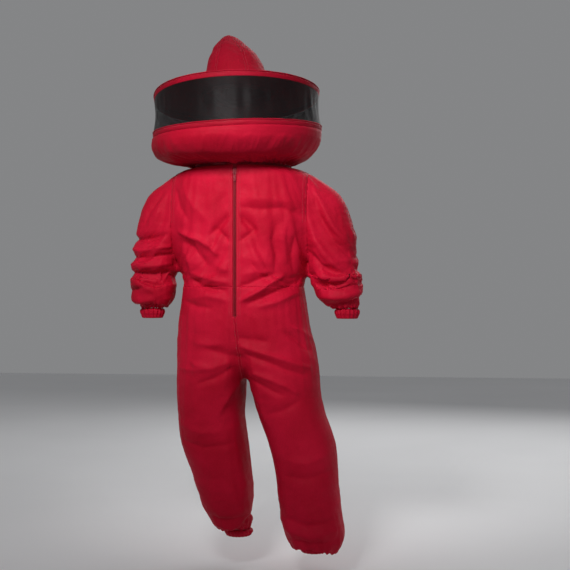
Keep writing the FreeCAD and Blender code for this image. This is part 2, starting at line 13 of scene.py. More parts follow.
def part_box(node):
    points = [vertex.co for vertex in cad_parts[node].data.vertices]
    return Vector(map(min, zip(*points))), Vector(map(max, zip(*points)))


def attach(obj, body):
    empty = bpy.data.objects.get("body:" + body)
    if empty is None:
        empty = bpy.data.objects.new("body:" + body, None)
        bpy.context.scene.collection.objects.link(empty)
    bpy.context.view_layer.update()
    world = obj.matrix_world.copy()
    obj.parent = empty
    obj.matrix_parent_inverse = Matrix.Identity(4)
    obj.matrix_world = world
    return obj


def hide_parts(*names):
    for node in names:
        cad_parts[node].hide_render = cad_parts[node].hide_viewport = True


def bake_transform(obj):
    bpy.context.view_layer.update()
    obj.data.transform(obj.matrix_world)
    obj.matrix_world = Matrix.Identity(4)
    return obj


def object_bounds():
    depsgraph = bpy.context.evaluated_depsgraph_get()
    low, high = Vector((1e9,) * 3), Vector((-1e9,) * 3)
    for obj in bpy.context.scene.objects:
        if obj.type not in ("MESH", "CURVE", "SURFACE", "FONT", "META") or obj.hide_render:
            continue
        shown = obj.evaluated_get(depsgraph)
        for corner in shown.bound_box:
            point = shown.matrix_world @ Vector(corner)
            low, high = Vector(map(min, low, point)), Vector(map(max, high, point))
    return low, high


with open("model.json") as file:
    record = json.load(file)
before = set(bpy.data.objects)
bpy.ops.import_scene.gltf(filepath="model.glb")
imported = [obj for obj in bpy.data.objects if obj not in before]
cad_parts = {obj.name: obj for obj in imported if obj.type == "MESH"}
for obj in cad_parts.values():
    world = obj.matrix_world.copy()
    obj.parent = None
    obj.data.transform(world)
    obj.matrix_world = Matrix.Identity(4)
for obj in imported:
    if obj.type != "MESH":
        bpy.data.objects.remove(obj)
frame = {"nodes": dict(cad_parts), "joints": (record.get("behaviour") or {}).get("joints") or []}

cad_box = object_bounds()
MM = 0.001


# ---- places read from the frame ------------------------------------------------------------------
def centre(node):
    low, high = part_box(node)
    return (low + high) / 2


def joint_place(name):
    return Vector(next(j["pos_m"] for j in frame["joints"] if j["name"] == name))


ARMHOLE = joint_place("shoulder_left").x          # plane of each armhole, from the centre
HIP_Z = joint_place("hip_left").z
NECK_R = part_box("neck_zip_lower_tape")[1].x       # outside of the neck zip's tape
WAIST_Z = centre("waist_elastic").z
SHOULDER_Z = joint_place("shoulder_left").z
SIDE_SEAM_Y = 0.006
ZIP_SLOT = 0.0044                                 # half the gap between the two front edges
ZIP_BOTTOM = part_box("front_zip_chain_left")[0].z - 0.002
CROTCH = Vector((0.012, 0, -0.519))
LEG_SPREAD = 0.18                                 # how far the line between the legs leans, below the crotch


# ---- camera, light and floor ---------------------------------------------------------------------
EYE_Z = -0.287
AZIMUTH = math.radians(9.5)
DISTANCE = 2.85
AIM_RIGHT = 0.103
FOV = math.radians(27.55)


def add_camera():
    data = bpy.data.cameras.new("camera")
    data.sensor_width = 36
    data.lens = 18 / math.tan(FOV / 2)
    camera = bpy.data.objects.new("camera", data)
    right = Vector((math.cos(AZIMUTH), math.sin(AZIMUTH), 0))
    camera.location = (DISTANCE * math.sin(AZIMUTH), -DISTANCE * math.cos(AZIMUTH), EYE_Z)
    aim = right * AIM_RIGHT + Vector((0, 0, EYE_Z))
    camera.rotation_euler = (aim - camera.location).to_track_quat("-Z", "Y").to_euler()
    bpy.context.scene.collection.objects.link(camera)
    bpy.context.scene.camera = camera


def area_light(name, place, target, size, power, spread=180):
    data = bpy.data.lights.new(name, "AREA")
    data.size = size
    data.energy = power
    data.spread = math.radians(spread)
    light = bpy.data.objects.new(name, data)
    light.location = place
    light.rotation_euler = (Vector(target) - Vector(place)).to_track_quat("-Z", "Y").to_euler()
    bpy.context.scene.collection.objects.link(light)


def add_lights():
    area_light("key", (-0.16, -1.35, 0.62), (0.03, 0, -0.17), 0.34, 1.75, 44)
    area_light("fill", (1.6, -2.1, 0.2), (0, 0, -0.4), 1.4, 2.5)
    area_light("top", (0.2, 0.5, 2.0), (0, 0, 0), 1.2, 5)
    area_light("back", (0.7, 2.7, 1.3), (0, 0, -0.25), 2.4, 38)
    world = bpy.data.worlds.new("studio")
    world.use_nodes = True
    world.node_tree.nodes["Background"].inputs[0].default_value = (0.93, 0.94, 0.96, 1)
    world.node_tree.nodes["Background"].inputs[1].default_value = 0.25
    bpy.context.scene.world = world
    bpy.context.scene.view_settings.view_transform = "Standard"


def add_floor():
    mesh = bpy.data.meshes.new("floor")
    half = 6.0
    z = cad_box[0][2] - 0.055
    mesh.from_pydata([(-half, -half, z), (half, -half, z), (half, half, z), (-half, half, z)], [], [(0, 1, 2, 3)])
    floor = bpy.data.objects.new("floor", mesh)
    bpy.context.scene.collection.objects.link(floor)
    mesh.materials.append(floor_material())


# ---- suit shape ----------------------------------------------------------------------------------
# (right edge x, left edge x, z, front depth, back depth, squareness), all in mm
TRUNK = [
    (-118, 118, -3, 118, 118, 2.0),
    (-143, 143, -8, 119.8, 119, 2.1),
    (-163, 163, -14, 120.4, 119, 2.2),
    (-176, 176, -28, 120.2, 119, 2.3),
    (-184, 184, -60, 120, 118, 2.5),
    (-185, 185, -110, 120, 117, 2.6),
    (-177, 177, -160, 120, 115, 2.5),
    (-163, 163, -205, 120, 112, 2.4),
    (-152, 154, -245, 120, 109, 2.3),
    (-146, 150, -291, 120, 107, 2.3),
    (-153, 156, -325, 120, 111, 2.3),
    (-162, 162, -365, 120, 116, 2.3),
    (-163, 168, -395, 119, 119, 2.3),
    (-165, 182, -440, 112, 116, 2.4),
    (-160, 186, -478, 90, 94, 2.5),
    (-150, 176, -504, 58, 62, 2.5),
]
# (inner edge x, outer edge x, z, middle y, front depth, back depth, where it is deepest)
LEG_LEFT = [
    (15, 160, -400, 0, 96, 98, 0.3),
    (15, 180, -440, 0, 111, 115, 0.2),
    (17, 188, -480, 0, 114, 118, 0.22),
    (26, 189, -530, 0, 109, 113, 0.35),
    (42, 200, -590, -3, 99, 103, 0.5),
    (70, 228, -665, -8, 92, 95, 0.5),
    (87, 235, -735, -14, 87, 89, 0.5),
    (94, 241, -800, -20, 85, 84, 0.5),
    (103, 254, -848, -26, 82, 80, 0.5),
    (116, 254, -874, -33, 68, 66, 0.5),
    (134, 238, -893, -39, 46, 46, 0.5),
    (151, 209, -911, -43, 29, 29, 0.5),
]
LEG_RIGHT = [
    (9, -145, -400, 0, 96, 98, 0.3),
    (9, -160, -440, 0, 111, 115, 0.2),
    (7, -164, -480, 0, 114, 118, 0.22),
    (4, -163, -530, 0, 109, 113, 0.35),
    (2, -160, -590, 2, 99, 103, 0.5),
    (12, -153, -665, 6, 92, 95, 0.5),
    (20, -127, -735, 10, 87, 89, 0.5),
    (24, -113, -785, 14, 82, 82, 0.5),
    (22, -97, -825, 18, 74, 74, 0.5),
    (18, -72, -860, 22, 54, 54, 0.5),
    (14, -44, -891, 26, 29, 29, 0.5),
]
# (inner end x, z, outer end x, z, middle y, front depth, back depth)
SLEEVE_LEFT = [
    (140, -185, 140, -20, 2, 64, 64),
    (165, -192, 165, -15, 2, 70, 70),
    (166, -198, 206, -31, 2, 71, 71),
    (166.6, -204, 250, -66, 1, 71, 70),
    (167, -212, 276, -135, 0, 69, 67),
    (167, -240, 283, -225, -2, 66, 63),
    (168, -272, 298, -272, -5, 64, 60),
    (176, -296, 294, -298, -8, 60, 55),
    (205, -318, 288, -320, -10, 46, 44),
    (224, -338, 285, -338, -12, 33, 33),
    (232, -349, 281, -349, -12, 25.5, 25.5),
]
SLEEVE_RIGHT = [
    (140, -185, 140, -20, 2, 64, 64),
    (165, -192, 165, -15, 2, 70, 70),
    (166, -198, 206, -31, 2, 71, 71),
    (166.4, -204, 246, -66, 1, 70, 70),
    (166.6, -214, 268, -135, 0, 66, 66),
    (166.8, -240, 277, -225, -2, 62, 62),
    (167, -270, 281, -272, -4, 58, 58),
    (168, -298, 277, -298, -6, 54, 52),
    (182, -322, 264, -322, -8, 43, 42),
    (196, -339, 252, -339, -9, 30, 30),
    (200, -349, 249, -349, -9, 25.5, 25.5),
]
ROUND = 2.2               # squareness of sleeves
LEG_ROUND = 2.4
SPACING = 0.007           # distance between the points of the tubes that the suit starts from
VOXEL = 0.0065


def smooth_rows(rows, spacing):
    """Rows of numbers, passed through by a smooth curve with extra rows between them."""
    rows = np.array(rows, float)
    padded = np.vstack([2 * rows[0] - rows[1], rows, 2 * rows[-1] - rows[-2]])
    out = []
    for i in range(1, len(padded) - 2):
        before, here, after, beyond = padded[i - 1:i + 3]
        steps = max(2, int(np.abs(after[:4] - here[:4]).max() / spacing))
        for t in np.arange(steps) / steps:
            out.append(0.5 * (2 * here + (after - before) * t
                              + (2 * before - 5 * here + 4 * after - beyond) * t ** 2
                              + (3 * here - before - 3 * after + beyond) * t ** 3))
    out.append(rows[-1])
    return np.array(out)


def outline(row, count):
    """The points round one section: (xa, za, xb, zb, y, front, back, squareness, deepest)."""
    xa, za, xb, zb, y, front, back, power, deepest = row
    start, end = np.array([xa, y, za]), np.array([xb, y, zb])
    middle = start + (end - start) * deepest
    turn = np.linspace(0, 2 * math.pi, count, endpoint=False)
    along = np.sign(np.cos(turn)) * np.abs(np.cos(turn)) ** (2 / power)
    across = np.sign(np.sin(turn)) * np.abs(np.sin(turn)) ** (2 / power)
    reach = np.where(along[:, None] > 0, end - middle, middle - start)
    depth = np.where(across > 0, back, front)
    points = middle + reach * along[:, None]
    points[:, 1] += depth * across
    return points


def tube_mesh(rows, count=64):
    """A closed tube through the sections, in metres: points and faces."""
    rings = [outline(row, count) * MM for row in smooth_rows(rows, SPACING / MM)]
    points = np.vstack(rings)
    faces = []
    for i in range(len(rings) - 1):
        for j in range(count):
            k = (j + 1) % count
            faces.append((i * count + j, i * count + k, (i + 1) * count + k, (i + 1) * count + j))
    faces.append(tuple(range(count))[::-1])
    faces.append(tuple(range(len(points) - count, len(points))))
    return points, faces


def new_object(name, points, faces):
    mesh = bpy.data.meshes.new(name)
    mesh.from_pydata([tuple(p) for p in points], [], faces)
    mesh.update()
    obj = bpy.data.objects.new(name, mesh)
    bpy.context.scene.collection.objects.link(obj)
    return obj


def evaluated(obj):
    """A copy of the object's mesh with its modifiers applied."""
    graph = bpy.context.evaluated_depsgraph_get()
    return bpy.data.meshes.new_from_object(obj.evaluated_get(graph))


def apply_modifiers(obj):
    mesh = evaluated(obj)
    obj.modifiers.clear()
    obj.data = mesh


def coordinates(mesh):
    co = np.empty(len(mesh.vertices) * 3)
    mesh.vertices.foreach_get("co", co)
    return co.reshape(-1, 3)


def normals(mesh):
    no = np.empty(len(mesh.vertices) * 3)
    mesh.vertex_normals.foreach_get("vector", no)
    return no.reshape(-1, 3)


def set_coordinates(mesh, co):
    mesh.vertices.foreach_set("co", co.ravel())
    mesh.update()


def suit_block():
    """Trunk, sleeves and legs fused into one closed skin."""
    tubes = [[(a, z, b, z, 0, front, back, power, 0.5) for a, b, z, front, back, power in TRUNK]]
    for table in (LEG_LEFT, LEG_RIGHT):
        tubes.append([(a, z, b, z, y, front, back, LEG_ROUND, deepest)
                      for a, b, z, y, front, back, deepest in table])
    for sign, table in ((1, SLEEVE_LEFT), (-1, SLEEVE_RIGHT)):
        tubes.append([(sign * xa, za, sign * xb, zb, y, front, back, ROUND, 0.5)
                      for xa, za, xb, zb, y, front, back in table])
    points, faces = [], []
    for rows in tubes:
        p, f = tube_mesh(rows)
        first = sum(len(q) for q in points)
        flipped = np.cross(p[f[0][1]] - p[f[0][0]], p[f[0][3]] - p[f[0][0]])
        outward = p[f[0][0]] - p[:64].mean(0)
        if flipped @ outward < 0:
            f = [face[::-1] for face in f]
        faces += [tuple(i + first for i in face) for face in f]
        points.append(p)
    block = new_object("suit_block", np.vstack(points), faces)
    remesh = block.modifiers.new("remesh", "REMESH")
    remesh.mode = "VOXEL"
    remesh.voxel_size = VOXEL
    apply_modifiers(block)
    relax = block.modifiers.new("relax", "SMOOTH")
    relax.factor = 0.5
    relax.iterations = 8
    apply_modifiers(block)
    return block


# ---- openings ------------------------------------------------------------------------------------
CUFFS = {}
for side in ("left", "right"):
    for place in ("wrist", "ankle"):
        low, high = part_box(f"{place}_cuff_{side}")
        CUFFS[place, side] = (Vector(((low.x + high.x) / 2, (low.y + high.y) / 2, high.z)),
                              (high.x - low.x) / 2, high.z - low.z)
END_TRIM = 0.003          # the sleeves and legs are cut this far above their cuffs
END_REACH = 0.055
NECK_EDGE_Z = -0.0035


def open_ends(block):
    """Cuts the neck, wrists and ankles open and brings each edge to a true circle."""
    bm = bmesh.new()
    bm.from_mesh(block.data)
    cap = [f for f in bm.faces
           if f.calc_center_median().xy.length < NECK_R and f.calc_center_median().z > -0.03]
    bmesh.ops.delete(bm, geom=cap, context="FACES")
    for v in bm.verts:
        if v.is_boundary:
            flat = v.co.xy.normalized() * (NECK_R + 0.001)
            v.co = (flat.x, flat.y, NECK_EDGE_Z)
    for (place, side), (centre_top, radius, height) in CUFFS.items():
        near = [v for v in bm.verts if (v.co.xy - centre_top.xy).length < END_REACH
                and abs(v.co.z - centre_top.z) < END_REACH]
        faces = {f for v in near for f in v.link_faces}
        edges = {e for f in faces for e in f.edges}
        verts = {v for f in faces for v in f.verts}
        level = centre_top + Vector((0, 0, END_TRIM))
        cut = bmesh.ops.bisect_plane(bm, geom=list(verts) + list(edges) + list(faces), plane_co=level,
                                     plane_no=(0, 0, -1), clear_outer=True, dist=1e-5)
        for item in cut["geom_cut"]:
            if isinstance(item, bmesh.types.BMVert):
                out = (item.co.xy - centre_top.xy).normalized() * (radius + 0.0004)
                item.co.x, item.co.y = centre_top.x + out.x, centre_top.y + out.y
    loose = [v for v in bm.verts if not v.link_faces]
    bmesh.ops.delete(bm, geom=loose, context="VERTS")
    bm.normal_update()
    bm.to_mesh(block.data)
    bm.free()
    block.data.update()


# ---- cloth ---------------------------------------------------------------------------------------
CLOTH_STEPS = 22
CLOTH_CAP = 0.020
# how much of the simulated movement each height of the suit's body keeps: (z, share)
CLOTH_SHARE = [(-0.93, 0.6), (-0.85, 0.5), (-0.75, 0.3), (-0.55, 0.25), (-0.45, 0.35), (-0.33, 0.5), (-0.20, 0.55),
               (-0.10, 0.35), (0.0, 0.3)]
SLEEVE_SHARE = 0.9
INSET = 0.016             # the body that the cloth falls onto is this much smaller


SLEEVE_FREE_Z = -0.284    # below this the sleeves hang free of the suit's body
SLEEVE_END_Z = -0.40


def on_sleeves(mesh):
    """Which of the suit's points belong to its sleeves."""
    co = coordinates(mesh)
    edges = np.empty(len(mesh.edges) * 2, int)
    mesh.edges.foreach_get("vertices", edges)
    low = (co[:, 2] < SLEEVE_FREE_Z) & (co[:, 2] > SLEEVE_END_Z)
    links = edges.reshape(-1, 2)
    links = links[low[links].all(1)]
    found = low & (np.abs(co[:, 0]) > 0.21)
    count = 0
    while found.sum() > count:
        count = found.sum()
        found[links[found[links].any(1)].ravel()] = True
    return np.where(low, found, (np.abs(co[:, 0]) > ARMHOLE - 0.004) & (co[:, 2] >= SLEEVE_FREE_Z))


def pin_weights(co):
    """1 where the cloth is held: neck and cuffs; part held at the waist and along the front zip."""
    pin = np.clip(1 - (NECK_EDGE_Z - co[:, 2]) / 0.035, 0, 1) * (np.hypot(co[:, 0], co[:, 1]) < NECK_R + 0.03)
    for centre_top, radius, height in CUFFS.values():
        away = np.linalg.norm(co - np.array(centre_top), axis=1)
        pin = np.maximum(pin, np.clip(1.9 - away / 0.030, 0, 1))
    pin = np.maximum(pin, 0.5 * np.exp(-((co[:, 2] - WAIST_Z) / 0.008) ** 2))
    front_zip = (np.abs(co[:, 0]) < 0.012) & (co[:, 1] < 0) & (co[:, 2] > ZIP_BOTTOM)
    pin[front_zip] = np.maximum(pin[front_zip], 0.85)
    return pin


def simulate(suit):
    """Lets the cloth, cut a little large, buckle and settle on a smaller body inside it."""
    co = coordinates(suit.data)
    body = new_object("body_inside", co - normals(suit.data) * INSET,
                      [tuple(p.vertices) for p in suit.data.polygons])
    relax = body.modifiers.new("relax", "SMOOTH")
    relax.factor = 0.5
    relax.iterations = 6
    apply_modifiers(body)
    hit = body.modifiers.new("collision", "COLLISION")
    body.collision.thickness_outer = 0.002
    body.collision.cloth_friction = 12
    group = suit.vertex_groups.new(name="pin")
    for i, weight in enumerate(pin_weights(co)):
        if weight > 0.01:
            group.add([i], float(weight), "REPLACE")
    cloth = suit.modifiers.new("cloth", "CLOTH")
    settings = cloth.settings
    settings.quality = 6
    settings.mass = 0.25
    settings.tension_stiffness = 18
    settings.compression_stiffness = 14
    settings.shear_stiffness = 6
    settings.bending_stiffness = 0.25
    settings.vertex_group_mass = "pin"
    settings.pin_stiffness = 2.0
    settings.shrink_min = -0.055
    settings.effector_weights.gravity = 0.7
    cloth.collision_settings.use_self_collision = False
    cloth.collision_settings.distance_min = 0.003
    scene = bpy.context.scene
    scene.frame_start, scene.frame_end = 1, CLOTH_STEPS
    cloth.point_cache.frame_start, cloth.point_cache.frame_end = 1, CLOTH_STEPS
    for step in range(1, CLOTH_STEPS + 1):
        scene.frame_set(step)
    moved = coordinates(evaluated(suit)) - co
    suit.modifiers.remove(cloth)
    bpy.data.objects.remove(body)
    scene.frame_set(1)
    reach = np.linalg.norm(moved, axis=1, keepdims=True)
    moved *= np.minimum(1, CLOTH_CAP / np.maximum(reach, 1e-9))
    share = np.interp(co[:, 2], *zip(*CLOTH_SHARE))
    share += (SLEEVE_SHARE - share) * np.clip((np.abs(co[:, 0]) - ARMHOLE) / 0.03, 0, 1) * on_sleeves(suit.data)
    moved *= share[:, None]
    set_coordinates(suit.data, co + moved)


# ---- folds ---------------------------------------------------------------------------------------
# Each line: points (x, z) in mm as seen from the front, half width, height (below zero is a hollow)
TORSO_FOLDS = [
    ([(18, -104), (60, -110), (110, -106), (150, -122)], 9, -3.6),
    ([(20, -84), (80, -86), (140, -92)], 17, 4.0),
    ([(-8, -120), (-26, -136), (-44, -156), (-58, -168)], 8, -5.5),
    ([(-44, -156), (-26, -172), (-8, -184)], 8, -5.0),
    ([(10, -120), (28, -140), (46, -158)], 8, -5.5),
    ([(46, -158), (30, -172), (10, -184)], 7, -4.5),
    ([(-128, -40), (-120, -70), (-98, -104), (-70, -130)], 12, 3.5),
    ([(-150, -60), (-140, -100), (-118, -130)], 9, -4.0),
    ([(-138, -160), (-112, -172), (-88, -180), (-60, -196), (-44, -214)], 8, 6.5),
    ([(-132, -184), (-104, -200), (-84, -222), (-70, -240)], 13, -7.0),
    ([(-124, -214), (-112, -236), (-110, -254)], 9, 5.0),
    ([(12, -222), (40, -226), (74, -238)], 20, 6.0),
    ([(24, -262), (50, -256), (84, -258)], 12, 4.0),
    ([(-40, -244), (-24, -250), (-8, -252)], 12, 5.0),
    ([(96, -150), (90, -180), (98, -214), (92, -250)], 9, -4.5),
    ([(118, -140), (112, -180), (118, -226)], 12, 4.5),
    ([(140, -170), (130, -215), (136, -262)], 9, -5.0),
    ([(-112, -274), (-84, -288), (-52, -297), (-26, -300)], 7, -7.5),
    ([(-112, -258), (-80, -268), (-48, -276), (-14, -282)], 8, 5.0),
    ([(8, -326), (30, -316), (56, -302), (82, -284), (108, -266)], 7, 7.5),
    ([(34, -330), (66, -318), (100, -302), (142, -280)], 8, -7.0),
    ([(10, -290), (34, -284), (60, -272), (88, -262)], 7, -5.0),
    ([(60, -338), (100, -326), (140, -306)], 8, 4.5),
    ([(-100, -318), (-70, -312), (-40, -318), (-14, -326)], 10, 4.0),
    ([(-128, -326), (-96, -338), (-60, -342)], 8, -4.0),
    ([(-96, -424), (-66, -430), (-36, -428)], 11, 3.5),
    ([(-70, -438), (-30, -450), (30, -464)], 13, -4.5),
    ([(6, -412), (40, -416), (74, -420)], 11, -4.5),
    ([(14, -432), (52, -444), (90, -456), (132, -470), (170, -484)], 7, 5.0),
    ([(26, -452), (70, -466), (120, -486), (160, -500)], 7, -4.5),
    ([(44, -496), (84, -510), (120, -526), (144, -542)], 7, 4.5),
    ([(36, -512), (70, -528), (110, -546)], 7, -4.0),
    ([(120, -400), (146, -420), (170, -444)], 6, -5.0),
    ([(130, -386), (156, -400), (176, -420)], 6, 3.5),
    ([(-12, -486), (-46, -506), (-88, -520)], 8, -4.0),
    ([(-16, -470), (-56, -484), (-104, -490), (-140, -486)], 8, 3.5),
    ([(-110, -468), (-96, -478), (-70, -478)], 7, 3.0),
    ([(6, -520), (-20, -552), (-44, -596)], 9, 3.5),
    ([(24, -530), (52, -566), (70, -612)], 9, 3.5),
]
LEG_FOLDS = [
    ([(150, -560), (110, -584), (84, -590)], 9, -3.0),
    ([(210, -690), (168, -708), (120, -700)], 12, 3.0),
    ([(220, -728), (170, -742), (118, -738)], 9, -3.0),
    ([(-140, -620), (-90, -640), (-40, -636)], 12, 3.0),
    ([(-136, -660), (-84, -676), (-20, -668)], 9, -3.0),
    ([(120, -838), (170, -850), (232, -840)], 8, -4.0),
    ([(112, -858), (176, -868), (244, -858)], 7, 4.0),
    ([(126, -878), (180, -884), (236, -878)], 6, -3.5),
    ([(-84, -842), (-40, -852), (10, -846)], 7, -4.0),
    ([(-66, -862), (-30, -868), (12, -864)], 6, 3.5),
]
# Sleeves: the same, with x measured outward from the middle of the body
SLEEVE_RIGHT_FOLDS = [
    ([(176, -60), (196, -96), (206, -140)], 11, 4.0),
    ([(190, -70), (222, -110), (240, -150)], 9, -4.5),
    ([(276, -168), (252, -178), (216, -176), (180, -166)], 8, -9.0),
    ([(278, -196), (244, -204), (206, -200), (172, -194)], 7, 6.0),
    ([(280, -216), (246, -222), (206, -220), (170, -214)], 6, -7.0),
    ([(282, -236), (246, -240), (204, -240), (170, -234)], 7, 6.0),
    ([(284, -256), (250, -258), (212, -262), (172, -256)], 6, -7.0),
    ([(282, -272), (246, -282), (206, -300)], 8, 6.5),
    ([(280, -296), (250, -292), (222, -284)], 6, -5.5),
    ([(276, -312), (244, -316), (210, -312)], 7, 4.0),
    ([(264, -328), (232, -330), (204, -326)], 5, -4.0),
]
SLEEVE_LEFT_FOLDS = [
    ([(176, -50), (198, -96), (226, -150), (262, -196)], 10, 5.5),
    ([(184, -90), (204, -140), (232, -186), (268, -220)], 9, -6.0),
    ([(172, -140), (184, -180), (212, -222), (246, -250)], 10, 5.0),
    ([(170, -210), (196, -238), (232, -262)], 8, -6.5),
    ([(168, -264), (200, -266), (240, -272), (292, -262)], 9, 7.5),
    ([(176, -286), (214, -288), (256, -290), (294, -282)], 7, -7.0),
    ([(262, -150), (280, -190), (286, -226)], 8, 4.0),
    ([(200, -306), (240, -308), (288, -300)], 8, 5.5),
    ([(214, -324), (250, -326), (286, -318)], 6, -5.0),
]
FOLD_DEPTH = 1.35
BACK_SHARE = 0.75         # how strongly the same folds come, mirrored, on the back


def line_field(x, z, points, width):
    """How strongly each place belongs to a fold: 1 on its line, fading to the sides and the ends."""
    points = np.array(points, float)
    runs = np.diff(points, axis=0)
    lengths = np.linalg.norm(runs, axis=1)
    starts = np.concatenate([[0], np.cumsum(lengths)])
    best = np.full(len(x), 1e9)
    along = np.zeros(len(x))
    for a, run, length, start in zip(points, runs, lengths, starts):
        t = np.clip(((x - a[0]) * run[0] + (z - a[1]) * run[1]) / length ** 2, 0, 1)
        gap = np.hypot(x - a[0] - t * run[0], z - a[1] - t * run[1])
        nearer = gap < best
        best = np.where(nearer, gap, best)
        along = np.where(nearer, (start + t * length) / starts[-1], along)
    fade = np.sqrt(np.clip(np.sin(math.pi * np.clip(along * 0.86 + 0.07, 0, 1)), 0, 1))
    return np.exp(-(best / (width * (0.55 + 0.45 * fade))) ** 1.5) * fade


def crumple(co, stretch, seed):
    """Sharp-crested random folds, longer one way than the other."""
    grid = co * np.array(stretch) + seed
    values = np.fromiter((noise(Vector(p)) for p in grid), float, len(grid))
    finer = np.fromiter((noise(Vector(p)) for p in grid * 2.3 + 7.7), float, len(grid))
    return (1 - np.abs(values) * 2.6) * 0.7 + (1 - np.abs(finer) * 2.6) * 0.3 - 0.45


def gathers(co, centre_top, count, reach, depth, sleeve):
    """Pleats that run up from an elastic, closest and deepest at it."""
    dx, dy = co[:, 0] - centre_top.x, co[:, 1] - centre_top.y
    height = co[:, 2] - centre_top.z
    near = (np.hypot(dx, dy) < 0.11) & (height > -0.01) & (height < 3 * reach)
    near &= sleeve | (centre_top.z < HIP_Z)
    turn = np.arctan2(dy, dx)
    wander = 0.9 * np.sin(3 * turn + 11 * centre_top.x) + 0.6 * np.sin(7 * turn + height * 60)
    wave = 1 - 2 * np.abs(np.sin(count / 2 * turn + wander))
    return near * wave * depth * np.exp(-np.maximum(height, 0) / reach)


# how far the full sleeve or leg hangs down round each cuff
OVERHANG = {("wrist", "left"): 0.016, ("wrist", "right"): 0.017, ("ankle", "left"): 0.021, ("ankle", "right"): 0.010}


def fold_suit(suit):
    """Moves the suit's points along their normals into its folds."""
    co, no = coordinates(suit.data), normals(suit.data)
    x, z = co[:, 0] / MM, co[:, 2] / MM
    front = np.clip(-no[:, 1] * 1.5, 0, 1)
    back = np.clip(no[:, 1] * 1.5, 0, 1) * BACK_SHARE
    sleeve = on_sleeves(suit.data)
    body = ~sleeve
    move = np.zeros(len(co))
    for points, width, height in TORSO_FOLDS + LEG_FOLDS:
        mirrored = [(-px, pz) for px, pz in points]
        move += body * height * (front * line_field(x, z, points, width)
                                 + back * line_field(x, z, mirrored, width * 1.2))
    for sign, folds in ((1, SLEEVE_LEFT_FOLDS), (-1, SLEEVE_RIGHT_FOLDS)):
        for points, width, height in folds:
            outer = np.clip(1.6 * sign * no[:, 0], 0, 1)
            share = np.clip(front + back + outer, 0, 1)
            move += (sleeve & (sign * x > 0)) * share * height * line_field(sign * x, z, points, width)
    move *= MM * FOLD_DEPTH
    lower_arm = np.clip((-0.07 - co[:, 2]) / 0.14, 0, 1)
    lower_leg = np.clip((-0.74 - co[:, 2]) / 0.12, 0, 1)
    move += sleeve * (0.0011 + 0.0013 * lower_arm) * crumple(co, (11, 9, 30), 3.1)
    move += body * (0.0011 + 0.0022 * lower_leg) * crumple(co, (13, 13, 20), 8.4)
    for (place, side), (centre_top, radius, height) in CUFFS.items():
        pleats, reach = (15, 0.020) if place == "wrist" else (16, 0.024)
        move += gathers(co, centre_top, pleats, reach, 0.0024, sleeve)
    held = np.clip((NECK_EDGE_Z - 0.004 - co[:, 2]) / 0.03, 0, 1)
    held = np.where(np.hypot(co[:, 0], co[:, 1]) < NECK_R + 0.04, held, 1)
    zip_side = np.clip((np.abs(co[:, 0]) - 0.008) / 0.012, 0.15, 1)
    held *= np.where((co[:, 1] < 0) & (co[:, 2] > ZIP_BOTTOM), zip_side, 1)
    move *= held
    side_gap = np.abs(co[:, 1] - SIDE_SEAM_Y)
    armhole_gap = np.abs(np.abs(co[:, 0]) - ARMHOLE) + (co[:, 2] < -0.24)
    waist_gap = np.abs(co[:, 2] - WAIST_Z) + sleeve
    for gap, depth in ((side_gap, 0.0012), (armhole_gap, 0.0013), (waist_gap, 0.0005)):
        move -= depth * np.exp(-(gap / 0.0022) ** 2)
    co = co + no * move[:, None]
    for key, (centre_top, radius, height) in CUFFS.items():
        out = np.hypot(co[:, 0] - centre_top.x, co[:, 1] - centre_top.y)
        above = co[:, 2] - centre_top.z
        loose = np.clip((out - radius - 0.005) / 0.014, 0, 1)
        loose *= loose * (3 - 2 * loose) * (out < 0.12) * (above > -0.02) * (sleeve | (centre_top.z < HIP_Z))
        co[:, 2] -= OVERHANG[key] * loose * np.exp(-(np.maximum(above, 0) / 0.045) ** 2)
    set_coordinates(suit.data, co)


def finer_near_cuffs(suit):
    bm = bmesh.new()
    bm.from_mesh(suit.data)
    centres = [centre_top for centre_top, radius, height in CUFFS.values()]
    edges = [e for e in bm.edges if any((e.verts[0].co - c).length < 0.06 for c in centres)]
    bmesh.ops.subdivide_edges(bm, edges=edges, cuts=1, use_grid_fill=True)
    bm.to_mesh(suit.data)
    bm.free()


def cut_along(bm, place, direction, keep):
    """New edges where a plane crosses the faces for which keep is true; nothing is removed."""
    faces = [f for f in bm.faces if keep(f.calc_center_median())]
    edges = {e for f in faces for e in f.edges}
    verts = {v for f in faces for v in f.verts}
    bmesh.ops.bisect_plane(bm, geom=list(verts) + list(edges) + faces, plane_co=place,
                           plane_no=direction, dist=2e-4)


def seam_lines(suit):
    """Edges along every seam, so that the panels part cleanly there."""
    bm = bmesh.new()
    bm.from_mesh(suit.data)
    cut_along(bm, (0, SIDE_SEAM_Y, 0), (0, 1, 0), lambda c: True)
    for sign in (1, -1):
        cut_along(bm, (sign * ARMHOLE, 0, 0), (1, 0, 0), lambda c: sign * c.x > 0.12 and c.z > -0.30)
        cut_along(bm, (sign * ZIP_SLOT, 0, 0), (1, 0, 0),
                  lambda c: abs(c.x) < 0.03 and c.y < 0 and c.z > ZIP_BOTTOM - 0.02)
    cut_along(bm, (0, 0, WAIST_Z), (0, 0, 1), lambda c: abs(c.x) < ARMHOLE and c.z > -0.35)
    cut_along(bm, (0, 0, ZIP_BOTTOM), (0, 0, 1), lambda c: abs(c.x) < 0.03 and c.y < 0)
    cut_along(bm, (0, 0, 0), (1, 0, 0), lambda c: ZIP_BOTTOM + 0.01 < c.z < WAIST_Z + 0.01 and c.y > 0)
    slope = Vector((CROTCH.x, 0, CROTCH.z - ZIP_BOTTOM))
    cut_along(bm, (0, 0, ZIP_BOTTOM), Vector((-slope.z, 0, slope.x)), lambda c: c.z < ZIP_BOTTOM + 0.01)
    bm.to_mesh(suit.data)
    bm.free()


